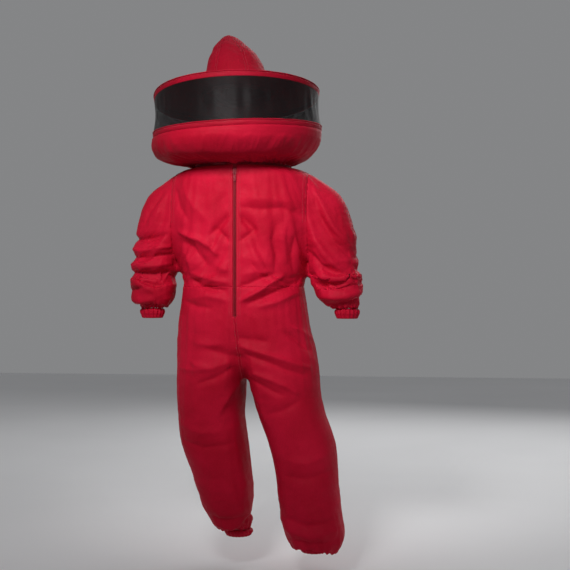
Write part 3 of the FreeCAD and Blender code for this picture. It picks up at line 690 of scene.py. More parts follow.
def panel_of(c, on_sleeve):
    """The name of the panel that a face at c belongs to, or None in the zip's slot."""
    side = "left" if c.x > 0 else "right"
    inner = ARMHOLE - 0.004 * min(1, max(0, (-0.205 - c.z) / 0.02))
    if on_sleeve and (abs(c.x) > inner or c.z < SLEEVE_FREE_Z):
        return "sleeve_" + side
    if c.y < 0 and abs(c.x) < ZIP_SLOT and c.z > ZIP_BOTTOM:
        return None
    if c.z > WAIST_Z:
        return "upper_front_" + side if c.y < SIDE_SEAM_Y else "upper_back"
    middle = 0.0
    if c.z < ZIP_BOTTOM:
        middle = (ZIP_BOTTOM - c.z) * CROTCH.x / (ZIP_BOTTOM - CROTCH.z)
    if c.z < CROTCH.z:
        middle = CROTCH.x + (CROTCH.z - c.z) * LEG_SPREAD
    return "trousers_left" if c.x > middle else "trousers_right"


def split_panels(suit):
    """One object for each panel; the thickness is given afterwards."""
    mesh = suit.data
    groups = {}
    sleeve = on_sleeves(mesh)
    for polygon in mesh.polygons:
        name = panel_of(polygon.center, sleeve[list(polygon.vertices)].any())
        if name:
            groups.setdefault(name, []).append(tuple(polygon.vertices))
    co = coordinates(mesh)
    panels = {}
    for name, faces in sorted(groups.items()):
        used = sorted({i for face in faces for i in face})
        place = {old: new for new, old in enumerate(used)}
        panels[name] = new_object(name, co[used], [tuple(place[i] for i in face) for face in faces])
    bpy.data.objects.remove(suit)
    return panels


# ---- small mesh builders -------------------------------------------------------------------------
class Builder:
    """Collects points and faces of many small shapes for one object."""

    def __init__(self):
        self.points, self.faces = [], []

    def add(self, points, faces):
        first = len(self.points)
        self.points.extend(tuple(p) for p in points)
        self.faces.extend(tuple(i + first for i in face) for face in faces)

    def rod(self, a, b, up, wide, high):
        """A short flat thread from a to b."""
        a, b, up = Vector(a), Vector(b), Vector(up).normalized()
        side = (b - a).cross(up).normalized()
        ring = [side * wide, (side * 0.6 + up * 0.8) * wide * high, (side * -0.6 + up * 0.8) * wide * high,
                side * -wide]
        ends = [a.lerp(b, 0.0), a.lerp(b, 0.25) + up * wide * 0.5, a.lerp(b, 0.75) + up * wide * 0.5, b]
        points = [end + r for end in ends for r in ring]
        faces = [(4 * k + i, 4 * k + (i + 1) % 4, 4 * k + 4 + (i + 1) % 4, 4 * k + 4 + i)
                 for k in range(3) for i in range(4)]
        self.add(points, faces + [(3, 2, 1, 0), (12, 13, 14, 15)])

    def brick(self, place, x_way, y_way, z_way):
        """A box about place; the three vectors are its half sides."""
        points = [Vector(place) + x_way * i + y_way * j + z_way * k
                  for i in (-1, 1) for j in (-1, 1) for k in (-1, 1)]
        self.add(points, [(0, 1, 3, 2), (4, 6, 7, 5), (0, 4, 5, 1), (2, 3, 7, 6), (0, 2, 6, 4), (1, 5, 7, 3)])

    def grid(self, rows, closed=True):
        """A skin through rows of points that all have the same count."""
        count = len(rows[0])
        last = count if closed else count - 1
        faces = [(i * count + j, i * count + (j + 1) % count,
                  (i + 1) * count + (j + 1) % count, (i + 1) * count + j)
                 for i in range(len(rows) - 1) for j in range(last)]
        self.add([p for row in rows for p in row], faces)

    def make(self, name):
        obj = new_object(name, self.points, self.faces)
        smooth(obj)
        return obj


def smooth(obj):
    obj.data.polygons.foreach_set("use_smooth", [True] * len(obj.data.polygons))


def face_out(obj, about=None):
    """Turns every face to the outside of a closed or open skin about a vertical axis."""
    bm = bmesh.new()
    bm.from_mesh(obj.data)
    bmesh.ops.recalc_face_normals(bm, faces=bm.faces)
    middle = Vector(about) if about is not None else sum((v.co for v in bm.verts), Vector()) / len(bm.verts)
    lean = sum(f.normal.dot(f.calc_center_median() - middle) * f.calc_area() for f in bm.faces)
    if lean < 0:
        bmesh.ops.reverse_faces(bm, faces=bm.faces)
    bm.to_mesh(obj.data)
    bm.free()


def thicken(obj, thickness):
    """Gives a skin its thickness, inward from its face."""
    solid = obj.modifiers.new("thickness", "SOLIDIFY")
    solid.thickness = thickness
    solid.offset = -1
    solid.use_even_offset = False
    apply_modifiers(obj)
    smooth(obj)


# ---- stitches ------------------------------------------------------------------------------------
STITCH = 0.0027
STITCH_GAP = 0.0009
THREAD = 0.00035


class Surface:
    """Finds points on the folded suit."""

    def __init__(self, obj):
        graph = bpy.context.evaluated_depsgraph_get()
        self.tree = BVHTree.FromObject(obj, graph)

    def hit(self, origin, way, reach=1.0):
        place, normal, index, gap = self.tree.ray_cast(Vector(origin), Vector(way).normalized(), reach)
        return (place, normal) if place is not None else None


def stitch_row(builder, hits):
    """Stitches along a line of (place, normal), broken where the line jumps or a place is missing."""
    run, since = [], 0.0
    for item in hits + [None]:
        jump = item is None or (run and (item[0] - run[-1][0]).length > 0.008)
        if jump:
            lay_stitches(builder, run)
            run = []
        if item is not None:
            run.append(item)


def lay_stitches(builder, run):
    if len(run) < 4:
        return
    places = np.array([p for p, n in run])
    steps = np.concatenate([[0], np.cumsum(np.linalg.norm(np.diff(places, axis=0), axis=1))])
    ups = np.array([n for p, n in run])
    at = 0.001
    while at + STITCH < steps[-1]:
        ends = [np.array([np.interp(s, steps, places[:, k]) for k in range(3)]) for s in (at, at + STITCH)]
        up = np.array([np.interp(at, steps, ups[:, k]) for k in range(3)])
        lift = up * 0.00005
        builder.rod(ends[0] + lift, ends[1] + lift, up, THREAD, 1.0)
        at += STITCH + STITCH_GAP


def suit_stitches(surface):
    """Topstitching of the suit's body, sleeves and trousers, one object for each."""
    rows = {name: Builder() for name in ("suit", "sleeve_left", "sleeve_right", "trousers_left", "trousers_right")}
    levels = np.arange(-0.012, ZIP_BOTTOM, -0.002)
    for sign in (1, -1):
        for offset in (0.0025, 0.0085):
            x = sign * (ZIP_SLOT + offset)
            upper = [surface.hit((x, -0.3, z), (0, 1, 0)) for z in levels if z > WAIST_Z]
            lower = [surface.hit((x, -0.3, z), (0, 1, 0)) for z in levels if z <= WAIST_Z]
            stitch_row(rows["suit"], upper)
            stitch_row(rows["trousers_left" if sign > 0 else "trousers_right"], lower)
    for sign in (1, -1):
        for offset in (0.0035, 0.0095):
            x = sign * (ARMHOLE - offset)
            middle = Vector((x, 0.002, SHOULDER_Z))
            hits = []
            for i in range(320):
                turn = 2 * math.pi * i / 320
                way = Vector((0, math.cos(turn), math.sin(turn)))
                hits.append(surface.hit(middle + way * 0.16, -way, 0.155) if turn < 3.6 or turn > 5.8 else None)
            stitch_row(rows["suit"], hits)
    for offset in (0.004, -0.004):
        y = SIDE_SEAM_Y + offset
        for sign in (1, -1):
            name = "trousers_left" if sign > 0 else "trousers_right"
            side = []
            for z in np.arange(WAIST_Z - 0.01, -0.885, -0.002):
                start = np.interp(-z, [0.30, 0.34], [0.167, 0.178]) if z > SLEEVE_END_Z else 0.5
                side.append(surface.hit((sign * start, y, z), (-sign, 0, 0)))
            stitch_row(rows[name], side)
            flank = [surface.hit((sign * 0.164, y, z), (-sign, 0, 0), 0.05)
                     for z in np.arange(-0.262, WAIST_Z + 0.008, -0.002)]
            stitch_row(rows["suit"], flank)
            sleeve = rows["sleeve_left" if sign > 0 else "sleeve_right"]
            outer = [surface.hit((sign * 0.5, y, z), (-sign, 0, 0)) for z in np.arange(-0.05, -0.34, -0.002)]
            stitch_row(sleeve, outer)
    for offset in (-0.003, 0.003):
        for y_way in (1, -1):
            hits = []
            for z in np.arange(ZIP_BOTTOM - 0.006 if y_way > 0 else WAIST_Z - 0.01, CROTCH.z + 0.01, -0.002):
                x = max(0, ZIP_BOTTOM - z) * CROTCH.x / (ZIP_BOTTOM - CROTCH.z) + offset
                hits.append(surface.hit((x, -0.3 * y_way, z), (0, y_way, 0)))
            stitch_row(rows["trousers_left" if offset > 0 else "trousers_right"], hits)
    return {name: builder.make(name + "_topstitch") for name, builder in rows.items()}


WAIST_BAND = 0.010        # half the height of the waist elastic
WAIST_GAP = 0.014         # the elastic stops this far from the centre of the front


def waist_elastic(surface):
    """The flat elastic that lies against the inside of the waist, open at the zip."""
    builder = Builder()
    start = math.asin(WAIST_GAP / 0.12)
    angles = np.linspace(-math.pi / 2 + start, 3 * math.pi / 2 - start, 260)
    rows = []
    for k in range(5):
        z = WAIST_Z + WAIST_BAND * (k / 2 - 1)
        row = []
        for turn in angles:
            way = Vector((math.cos(turn), math.sin(turn), 0))
            hit = surface.hit((0, 0, z), way)
            row.append(hit[0] - way * 0.0034)
        rows.append(row)
    builder.grid(rows, closed=False)
    elastic = builder.make("waist_elastic_band")
    face_out(elastic)
    thicken(elastic, 0.0011)
    return elastic


# ---- cuffs ---------------------------------------------------------------------------------------
def gathered_cuff(name, top, radius, height, seed):
    """A short elastic cuff: close small pleats, drawn in at two channels."""
    rows, steps, count = [], 26, 220
    for i in range(steps + 1):
        t = i / steps
        z = top.z + END_TRIM - t * (height + END_TRIM)
        drawn = 0.55 + 0.45 * abs(math.sin(math.pi * t * 3))
        full = 0.0052 * math.sin(math.pi * t ** 0.62) ** 1.2
        ring = []
        for j in range(count):
            turn = 2 * math.pi * j / count
            phase = 19 * turn + 0.8 * math.sin(3 * turn + seed) + 0.5 * math.sin(5 * turn - 2 * t + seed)
            pleat = (1 - 2 * abs(math.sin(phase / 2))) * (0.0009 + 0.16 * full) * (1.25 - 0.5 * drawn)
            r = radius + 0.0002 + 0.0011 * (drawn - 0.5) + pleat + full - 0.0012 * (t > 0.97)
            ring.append((top.x + r * math.cos(turn), top.y + r * math.sin(turn), z))
        rows.append(ring)
    builder = Builder()
    builder.grid(rows)
    cuff = builder.make(name)
    face_out(cuff)
    thicken(cuff, 0.0011)
    return cuff


# ---- zips ----------------------------------------------------------------------------------------
TOOTH_PITCH = 0.0021


def front_teeth(side):
    low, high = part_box("front_zip_chain_" + side)
    sign = 1 if side == "left" else -1
    inner, outer = (low.x, high.x) if sign > 0 else (high.x, low.x)
    builder = Builder()
    middle_y = (low.y + high.y) / 2
    count = int((high.z - low.z) / TOOTH_PITCH)
    for i in range(count):
        z = high.z - (i + (0.25 if sign > 0 else 0.75)) * TOOTH_PITCH
        builder.brick(((inner + outer) / 2, middle_y - 0.0002, z), Vector((abs(outer - inner) * 0.5, 0, 0)),
                      Vector((0, (high.y - low.y) * 0.42, 0)), Vector((0, 0, TOOTH_PITCH * 0.2)))
        builder.brick((inner + sign * 0.0002, middle_y - 0.0002, z), Vector((0.0006, 0, 0)),
                      Vector((0, (high.y - low.y) * 0.5, 0)), Vector((0, 0, TOOTH_PITCH * 0.33)))
    builder.brick((outer - sign * 0.0004, middle_y + 0.0002, (low.z + high.z) / 2), Vector((0.0005, 0, 0)),
                  Vector((0, (high.y - low.y) * 0.36, 0)), Vector((0, 0, (high.z - low.z) / 2)))
    return finish_teeth(builder, "front_zip_teeth_" + side)


def neck_teeth(half):
    low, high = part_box(f"neck_zip_{half}_chain")
    outer = (high.x - low.x) / 2
    middle = outer - 0.0013
    sign = 1 if half == "upper" else -1
    inner_z, far_z = (low.z, high.z) if sign > 0 else (high.z, low.z)
    builder = Builder()
    count = int(2 * math.pi * middle / TOOTH_PITCH)
    for i in range(count):
        turn = 2 * math.pi * (i + (0.25 if sign > 0 else 0.75)) / count
        out = Vector((math.cos(turn), math.sin(turn), 0))
        along = Vector((-math.sin(turn), math.cos(turn), 0))
        builder.brick(out * middle + Vector((0, 0, (inner_z + far_z) / 2)), out * 0.0011, along * 0.0004,
                      Vector((0, 0, abs(far_z - inner_z) / 2)))
        builder.brick(out * middle + Vector((0, 0, inner_z + sign * 0.0005)), out * 0.0013, along * 0.0007,
                      Vector((0, 0, 0.0005)))
    return finish_teeth(builder, f"neck_zip_{half}_teeth")


def finish_teeth(builder, name):
    teeth = builder.make(name)
    teeth.data.polygons.foreach_set("use_smooth", [False] * len(teeth.data.polygons))
    bevel = teeth.modifiers.new("edges", "BEVEL")
    bevel.width = 0.0001
    bevel.segments = 1
    apply_modifiers(teeth)
    return teeth


# ---- hat and veil --------------------------------------------------------------------------------
def ring_place(node, front_up, side_down, centre_xyz):
    """Placement of a ring that is drawn flat about the origin."""
    lean = Matrix.Rotation(math.radians(-side_down), 4, "Y")
    raise_front = Matrix.Rotation(math.radians(-front_up), 4, "X")
    return Matrix.Translation(Vector(centre_xyz)) @ lean @ raise_front


BRIM_PLACE = ring_place("hat_brim", 7.5, 2.4, (-0.012, -0.020, 0.176))
HOOP_PLACE = ring_place("lower_hoop", 0.5, 2.4, (-0.010, -0.020, 0.084))
BRIM_R = 0.200
HOOP_R = 0.2045
HOOP_DROOP = 0.0045
HEAD_R = 0.088
BAND_HIGH = 0.014         # height of the brim binding and the hoop casing
# (height above the brim, radius, lean towards the wearer's right), in mm
CROWN = [
    (2.2, 87.6, 0),
    (30, 82, 1),
    (60, 73, 2),
    (85, 65, 5),
    (103, 55, 7),
    (118, 44, 12),
    (132, 31, 14),
    (143, 19, 16),
    (149, 8, 17),
]
# (middle x, middle y, z, radius), from the neck up to the hoop, in mm
SKIRT = [
    (0, 0, 3.6, 118.6),
    (-4, -3, 4.2, 122),
    (-9, -6, 6.0, 132),
    (-16, -10, 8.5, 146),
    (-21, -14, 12.0, 163),
    (-22, -17, 19, 181),
    (-19, -19, 34, 195),
    (-15, -20, 50, 203),
    (-12, -20, 64, 205),
]
GORES = 6


FRONT_DROOP = 0.0045       # how far the brim's rim hangs below its flat, at the front
RIGHT_DROOP = 0.0120      # and at the wearer's right, where it sags most
WIRE_R = 0.0016


def brim_point(r, turn, z):
    """A place on the brim, which droops a little towards its rim."""
    reach = max(0, (r - HEAD_R) / (BRIM_R - HEAD_R)) ** 1.6
    right, front = max(0, -math.cos(turn + 0.35)), max(0, -math.sin(turn))
    drop = reach * (FRONT_DROOP * front + RIGHT_DROOP * right ** 4)
    return BRIM_PLACE @ Vector((r * math.cos(turn), r * math.sin(turn), z - drop))


def hoop_point(r, turn, z):
    """A place about the lower hoop, which hangs a little at the front."""
    drop = HOOP_DROOP * max(0, -math.sin(turn) + 0.25)
    return HOOP_PLACE @ Vector((r * math.cos(turn), r * math.sin(turn), z - drop))


def wire(name, at, radius, middle):
    """A round steel wire bent into a ring."""
    builder = Builder()
    rows = []
    for turn in turns(14):
        rows.append([at(radius + WIRE_R * math.cos(turn), t, middle + WIRE_R * math.sin(turn)) for t in turns(300)])
    builder.grid(rows + rows[:1])
    ring = builder.make(name)
    face_out(ring)
    return ring


def turns(count):
    return [2 * math.pi * i / count for i in range(count)]


def fine_rows(rows, steps):
    """Rows of numbers with steps new rows between each pair, on a smooth curve."""
    rows = np.array(rows, float)
    padded = np.vstack([2 * rows[0] - rows[1], rows, 2 * rows[-1] - rows[-2]])
    out = []
    for i in range(1, len(padded) - 2):
        before, here, after, beyond = padded[i - 1:i + 3]
        for t in np.arange(steps) / steps:
            out.append(0.5 * (2 * here + (after - before) * t
                              + (2 * before - 5 * here + 4 * after - beyond) * t ** 2
                              + (3 * here - before - 3 * after + beyond) * t ** 3))
    out.append(rows[-1])
    return out


def hat_crown():
    """A soft peaked crown of six gores that leans to one side."""
    count = 216
    builder = Builder()
    rows = []
    for height, radius, lean in fine_rows(CROWN, 7):
        rise = min(1, max(0, height / 149))
        ring = []
        for turn in turns(count):
            seam = abs(((turn * GORES / (2 * math.pi)) + 0.5) % 1 - 0.5)
            dent = 0.9 * math.exp(-(seam / 0.022) ** 2) - 1.6 * (0.25 - (seam - 0.5) ** 2) * (1 - rise)
            out = Vector((math.cos(turn), math.sin(turn), height / 24))
            soft = noise(Vector((out.x * 1.7, out.y * 1.7, out.z * 0.9)) + Vector((3, 1, 7)))
            crease = 1 - abs(noise(Vector((out.x * 2.6, out.y * 2.6, out.z * 1.5)) + Vector((9, 4, 2)))) * 2.4
            r = radius - dent - 2.2 * (1 - soft) * rise * (1 - rise) * 2.4 - 1.2 * max(0, crease)
            ring.append(BRIM_PLACE @ (Vector((r * math.cos(turn) - lean, r * math.sin(turn), height)) * MM))
        rows.append(ring)
    tip = sum(rows[-1], Vector()) / count
    for share, drop in ((0.55, 0.0016), (0.15, 0.0026)):
        rows.append([tip + (p - tip) * share + Vector((0, 0, drop)) for p in rows[-1 if share > 0.5 else -2]])
    builder.grid(rows)
    first = len(builder.points)
    builder.points.append(tuple(tip + Vector((0, 0, 0.0028))))
    builder.faces.extend((first - count + j, first - count + (j + 1) % count, first) for j in range(count))
    crown = builder.make("crown")
    face_out(crown)
    thicken(crown, 0.0012)
    return crown


def crown_stitches(crown):
    """Two rows beside each gore seam and one round the foot."""
    surface = Surface(crown)
    builder = Builder()
    axis = BRIM_PLACE @ Vector((-0.008, 0, 0))
    for k in range(GORES):
        for offset in (-0.045, 0.045):
            hits = []
            for h in np.arange(6, 143, 1.6):
                lean = np.interp(h, [row[0] for row in CROWN], [row[2] for row in CROWN])
                turn = 2 * math.pi * k / GORES + offset * (1 if h < 70 else 1 + (h - 70) / 60)
                way = Vector((math.cos(turn), math.sin(turn), 0))
                start = BRIM_PLACE @ (Vector((-lean, 0, h)) * MM + way * 0.14)
                hits.append(surface.hit(start, (BRIM_PLACE.to_3x3() @ -way), 0.14))
            stitch_row(builder, hits)
    hits = []
    for turn in turns(500) + [2 * math.pi]:
        way = Vector((math.cos(turn), math.sin(turn), 0))
        start = BRIM_PLACE @ (Vector((0, 0, 6.5)) * MM + way * 0.14)
        hits.append(surface.hit(start, (BRIM_PLACE.to_3x3() @ -way), 0.1))
    stitch_row(builder, hits)
    return builder.make("crown_topstitch")


def brim():
    """A stiffened brim with rows of stitching in shallow grooves all round."""
    count, top, low = 288, 0.0020, 0.0
    builder = Builder()
    threads = Builder()
    radii = np.arange(HEAD_R - 0.002, BRIM_R - 0.0043, 0.0011)
    wave = lambda turn, r: 0.0011 * (r / BRIM_R) ** 2 * (
        math.sin(3 * turn + 0.6) + 0.6 * math.sin(5 * turn + 2.1))
    row_step = 0.0088

    def height(r, turn):
        groove = math.exp(-((((r - HEAD_R) / row_step + 0.5) % 1 - 0.5) * row_step / 0.0012) ** 2)
        pucker = 0.00012 * math.sin(turn * r / 0.0016)
        return wave(turn, r), -0.0005 * groove + pucker * groove

    rows = []
    for r in radii:
        rows.append([brim_point(r, t, top + sum(height(r, t))) for t in turns(count)])
    for r in radii[::-1]:
        rows.append([brim_point(r, t, low + height(r, t)[0] - height(r, t)[1]) for t in turns(count)])
    builder.grid(rows + rows[:1])
    k = 1
    while HEAD_R + k * row_step < BRIM_R - 0.008:
        r = HEAD_R + k * row_step
        for side, z in ((1, top), (-1, low)):
            at = 0.0
            while at < 2 * math.pi:
                ends = [brim_point(r, t, z + height(r, t)[0] - side * 0.0004) for t in (at, at + STITCH / r)]
                threads.rod(ends[0], ends[1], BRIM_PLACE.to_3x3() @ Vector((0, 0, side)), THREAD, 1.0)
                at += (STITCH + STITCH_GAP) / r
        k += 1
    cloth = builder.make("brim")
    face_out(cloth)
    return cloth, threads.make("brim_topstitch")


def band(name, place_at, radius, low, high, puff, piping, inner, seed):
    """A cloth casing round a hoop: a shallow puffed band with a piped cord along its edges.

    inner is the rest of its section, (radius, height) from its lower edge round to its upper edge.
    """
    count, steps = 320, 12
    builder = Builder()
    rows = []
    for i in range(steps + 1):
        t = i / steps
        z = high + (low - high) * t
        ring = []
        for turn in turns(count):
            ease = noise(Vector((math.cos(turn) * 7, math.sin(turn) * 7, t * 1.4 + seed)))
            tight = noise(Vector((math.cos(turn) * 34, math.sin(turn) * 34, t * 1.1 + seed)))
            r = radius + puff * math.sin(math.pi * t) * (1 + 0.5 * ease) + 0.0003 * tight
            ring.append(place_at(r, turn, z))
        rows.append(ring)
    for r, z in inner:
        rows.append([place_at(r, turn, z) for turn in turns(count)])
    builder.grid(rows + rows[:1])
    cloth = builder.make(name)
    face_out(cloth)
    cords = Builder()
    for z, cord_r in piping:
        rows = []
        for around_cord in turns(10):
            rows.append([place_at(
                radius + cord_r * (0.5 + math.cos(around_cord)), t,
                z + cord_r * math.sin(around_cord) + 0.0005 * noise(Vector((math.cos(t) * 9, math.sin(t) * 9, seed))))
                for t in turns(count)])
        cords.grid(rows + rows[:1])
    piped = cords.make(name + "_piping")
    face_out(piped)
    threads = Builder()
    for z, cord_r in piping:
        edge = z + (0.0030 if z < (low + high) / 2 else -0.0030)
        share = (high - edge) / (high - low)
        at = 0.0
        while at < 2 * math.pi:
            ends = []
            for t in (at, at + STITCH / radius):
                r = radius + puff * math.sin(math.pi * share) + 0.0001
                ends.append(place_at(r, t, edge))
            threads.rod(ends[0], ends[1], Vector((math.cos(at), math.sin(at), 0)), THREAD, 1.2)
            at += (STITCH + STITCH_GAP) / radius
    return cloth, piped, threads.make(name + "_topstitch")


NET_CELL = 0.0025
NET_THREAD = 0.00064      # half the width of one thread
NET_TOP = 0.0118          # below the brim's top face
NET_LOW = 0.0068          # above the middle of the lower hoop


def net_point(turn, share):
    """A place on the net: share 0 at the lower hoop, 1 at the brim."""
    upper = brim_point(BRIM_R - 0.0003, turn, -NET_TOP)
    lower = hoop_point(HOOP_R - 0.0009, turn, NET_LOW)
    slack = math.sin(math.pi * share)
    wander = (0.5 * noise(Vector((math.cos(turn) * 3, math.sin(turn) * 3, share * 1.2)))
              + 0.5 * noise(Vector((math.cos(turn) * 9, math.sin(turn) * 9, 4 + share * 0.8))))
    out = Vector((math.cos(turn), math.sin(turn), 0))
    return lower.lerp(upper, share) + out * slack * (0.0042 * wander - 0.0028)


def veil_net():
    """A real net of flat threads with six-sided holes, hung between the brim and the lower hoop."""
    count = int(2 * math.pi * BRIM_R / NET_CELL)
    tall = 0.090
    rows = int(tall / (NET_CELL * 0.87))
    # corners of a brick pattern: each row of holes is shifted by half a hole
    places = {}
    builder = Builder()

    def corner(i2, j):
        """The corner at half step i2 round the net and at row line j."""
        key = (i2 % (2 * count), j)
        if key not in places:
            lift = 0.17 if (i2 + j) % 2 else -0.17
            places[key] = net_point(math.pi * i2 / count, min(1, max(0, (j + lift) / rows)))
        return places[key]

    shared = {}

    def point(key, place):
        if key not in shared:
            shared[key] = len(builder.points)
            builder.points.append(tuple(place))
        return shared[key]

    for j in range(rows):
        for i in range(count):
            start = 2 * i + (j % 2)
            keys = [(start, j), (start + 1, j), (start + 2, j), (start + 2, j + 1), (start + 1, j + 1), (start, j + 1)]
            outer = [corner(*key) for key in keys]
            middle = sum(outer, Vector()) / 6
            size = sum((p - middle).length for p in outer) / 6
            share = max(0.2, 1 - NET_THREAD / (size * 0.87))
            ids = [point(((key[0]) % (2 * count), key[1]), p) for key, p in zip(keys, outer)]
            first = len(builder.points)
            builder.points.extend(tuple(middle + (p - middle) * share) for p in outer)
            builder.faces.extend((ids[k], ids[(k + 1) % 6], first + (k + 1) % 6, first + k) for k in range(6))
    net = builder.make("veil_net")
    return net


def veil_skirt():
    """The gathered skirt below the lower hoop: pleats at the neck that open into soft puffs."""
    count = 720
    rows = [(x, y, z, r) for x, y, z, r in SKIRT]
    table = fine_rows(rows, 6)
    builder = Builder()
    skins = []
    total = len(table)
    for i, (x, y, z, radius) in enumerate(table):
        share = i / (total - 1)
        ring = []
        for turn in turns(count):
            ring.append(skirt_point(x, y, z, radius, turn, share))
        skins.append(ring)
    edge = []
    for turn in turns(count):
        edge.append(hoop_point(HOOP_R - 0.0001, turn, -BAND_HIGH / 2 + 0.0004))
    for k in (1, 2, 3):
        t = k / 3
        skins.append([skins[total - 1][j].lerp(edge[j], t) for j in range(count)])
    builder.grid(skins)
    skirt = builder.make("veil_skirt_cloth")
    face_out(skirt)
    thicken(skirt, 0.0010)
    return skirt


def skirt_point(x, y, z, radius, turn, share):
    """A place on the skirt, in metres, with its pleats and puffs."""
    out = Vector((math.cos(turn), math.sin(turn), 0))
    pleat_fade = math.exp(-share / 0.30) * min(1, share / 0.03 + 0.25)
    phase = 52 * turn + 2.2 * noise(out * 3 + Vector((5, 5, 5))) + 1.1 * math.sin(4 * turn)
    pleat = (1 - 2 * abs(math.sin(phase / 2))) * pleat_fade
    puff_fade = math.sin(math.pi * min(1, share * 1.02)) ** 0.8
    wide = noise(Vector((out.x * 3.3, out.y * 3.3, share * 1.4 + 2)))
    crease = 1 - abs(noise(Vector((out.x * 6.2, out.y * 6.2, share * 2.2 + 9)))) * 2.6
    fine = 1 - abs(noise(Vector((out.x * 13, out.y * 13, share * 3.0 + 17)))) * 2.4
    lift = 0.0022 * pleat + puff_fade * (0.0065 * wide + 0.0036 * crease + 0.0016 * fine - 0.0028)
    slope = min(1, max(0, (radius - 117) / 75))
    way = out * slope + Vector((0, 0, 1.0 - 0.75 * slope))
    place = Vector((x + radius * math.cos(turn), y + radius * math.sin(turn), z)) * MM
    return place + way.normalized() * lift


def back_strip():
    """The felled seam down the back of the net."""
    low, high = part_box("veil_back_seam")
    builder = Builder()
    rows = []
    for i in range(25):
        z = i / 24
        ring = []
        for k in range(9):
            x = -0.0066 + 0.0132 * k / 8
            turn = math.pi / 2 - (x + 0.0) / BRIM_R
            p = net_point(turn, z)
            bulge = 0.0004 * math.sin(math.pi * k / 8) + 0.0001 * math.sin(z * 90 + k)
            ring.append(p + Vector((0, 0.0007 + bulge, 0)))
        rows.append(ring)
    builder.grid(rows, closed=False)
    strip = builder.make("veil_back_strip")
    face_out(strip, (0, 0, (low.z + high.z) / 2))
    thicken(strip, 0.0006)
    return strip


# ---- materials -----------------------------------------------------------------------------------
class Shader:
    """A material's node tree, with short ways to add nodes."""

    def __init__(self, name):
        self.material = bpy.data.materials.new(name)
        self.material.use_nodes = True
        self.tree = self.material.node_tree
        self.out = self.tree.nodes["Principled BSDF"]
        self.place = self.node("ShaderNodeTexCoord").outputs["Object"]

    def node(self, kind, **values):
        node = self.tree.nodes.new(kind)
        for key, value in values.items():
            if hasattr(node, key):
                setattr(node, key, value)
            else:
                node.inputs[key].default_value = value
        return node

    def link(self, a, b):
        self.tree.links.new(a, b)

    def scaled(self, x, y, z):
        mapping = self.node("ShaderNodeMapping")
        mapping.inputs["Scale"].default_value = (x, y, z)
        self.link(self.place, mapping.inputs["Vector"])
        return mapping.outputs["Vector"]

    def noise(self, scale, detail=3.0, rough=0.55, stretch=None, distortion=0.0):
        node = self.node("ShaderNodeTexNoise")
        node.inputs["Scale"].default_value = scale
        node.inputs["Detail"].default_value = detail
        node.inputs["Roughness"].default_value = rough
        node.inputs["Distortion"].default_value = distortion
        self.link(self.scaled(*stretch) if stretch else self.place, node.inputs["Vector"])
        return node.outputs["Fac"]

    def wave(self, axis, pitch, distortion=0.0, place=None):
        node = self.node("ShaderNodeTexWave")
        node.bands_direction = axis
        node.inputs["Scale"].default_value = 2 * math.pi / (20 * pitch)
        node.inputs["Distortion"].default_value = distortion
        self.link(place or self.place, node.inputs["Vector"])
        return node.outputs["Fac"]

    def math(self, operation, a, b):
        node = self.node("ShaderNodeMath", operation=operation)
        for socket, value in zip(node.inputs, (a, b)):
            if isinstance(value, (int, float)):
                socket.default_value = value
            else:
                self.link(value, socket)
        return node.outputs[0]

    def ramp(self, value, stops):
        node = self.node("ShaderNodeValToRGB")
        elements = node.color_ramp.elements
        while len(elements) < len(stops):
            elements.new(0.5)
        for element, (at, colour) in zip(elements, stops):
            element.position = at
            element.color = (*colour, 1)
        self.link(value, node.inputs["Fac"])
        return node.outputs["Color"]

    def mix(self, amount, a, b, blend="MIX"):
        node = self.node("ShaderNodeMix", data_type="RGBA", blend_type=blend)
        for key, value in (("Factor", amount), ("A", a), ("B", b)):
            socket = next(s for s in node.inputs if s.name == key and s.enabled)
            if isinstance(value, (int, float)):
                socket.default_value = value
            elif isinstance(value, tuple):
                socket.default_value = (*value, 1)
            else:
                self.link(value, socket)
        return next(s for s in node.outputs if s.enabled)

    def bump(self, height, distance, strength=1.0, after=None):
        node = self.node("ShaderNodeBump")
        node.inputs["Distance"].default_value = distance
        node.inputs["Strength"].default_value = strength
        self.link(height, node.inputs["Height"])
        if after is not None:
            self.link(after, node.inputs["Normal"])
        return node.outputs["Normal"]

    def finish(self, colour, rough, normal, **sockets):
        self.link(colour, self.out.inputs["Base Color"])
        if isinstance(rough, (int, float)):
            self.out.inputs["Roughness"].default_value = rough
        else:
            self.link(rough, self.out.inputs["Roughness"])
        if normal is not None:
            self.link(normal, self.out.inputs["Normal"])
        for key, value in sockets.items():
            self.out.inputs[key.replace("_", " ")].default_value = value
        return self.material

    def value_ramp(self, value, low, high):
        """A value from noise spread between two numbers."""
        node = self.node("ShaderNodeMapRange")
        node.inputs["From Min"].default_value = 0.3
        node.inputs["From Max"].default_value = 0.7
        node.inputs["To Min"].default_value = low
        node.inputs["To Max"].default_value = high
        self.link(value, node.inputs["Value"])
        return node.outputs["Result"]


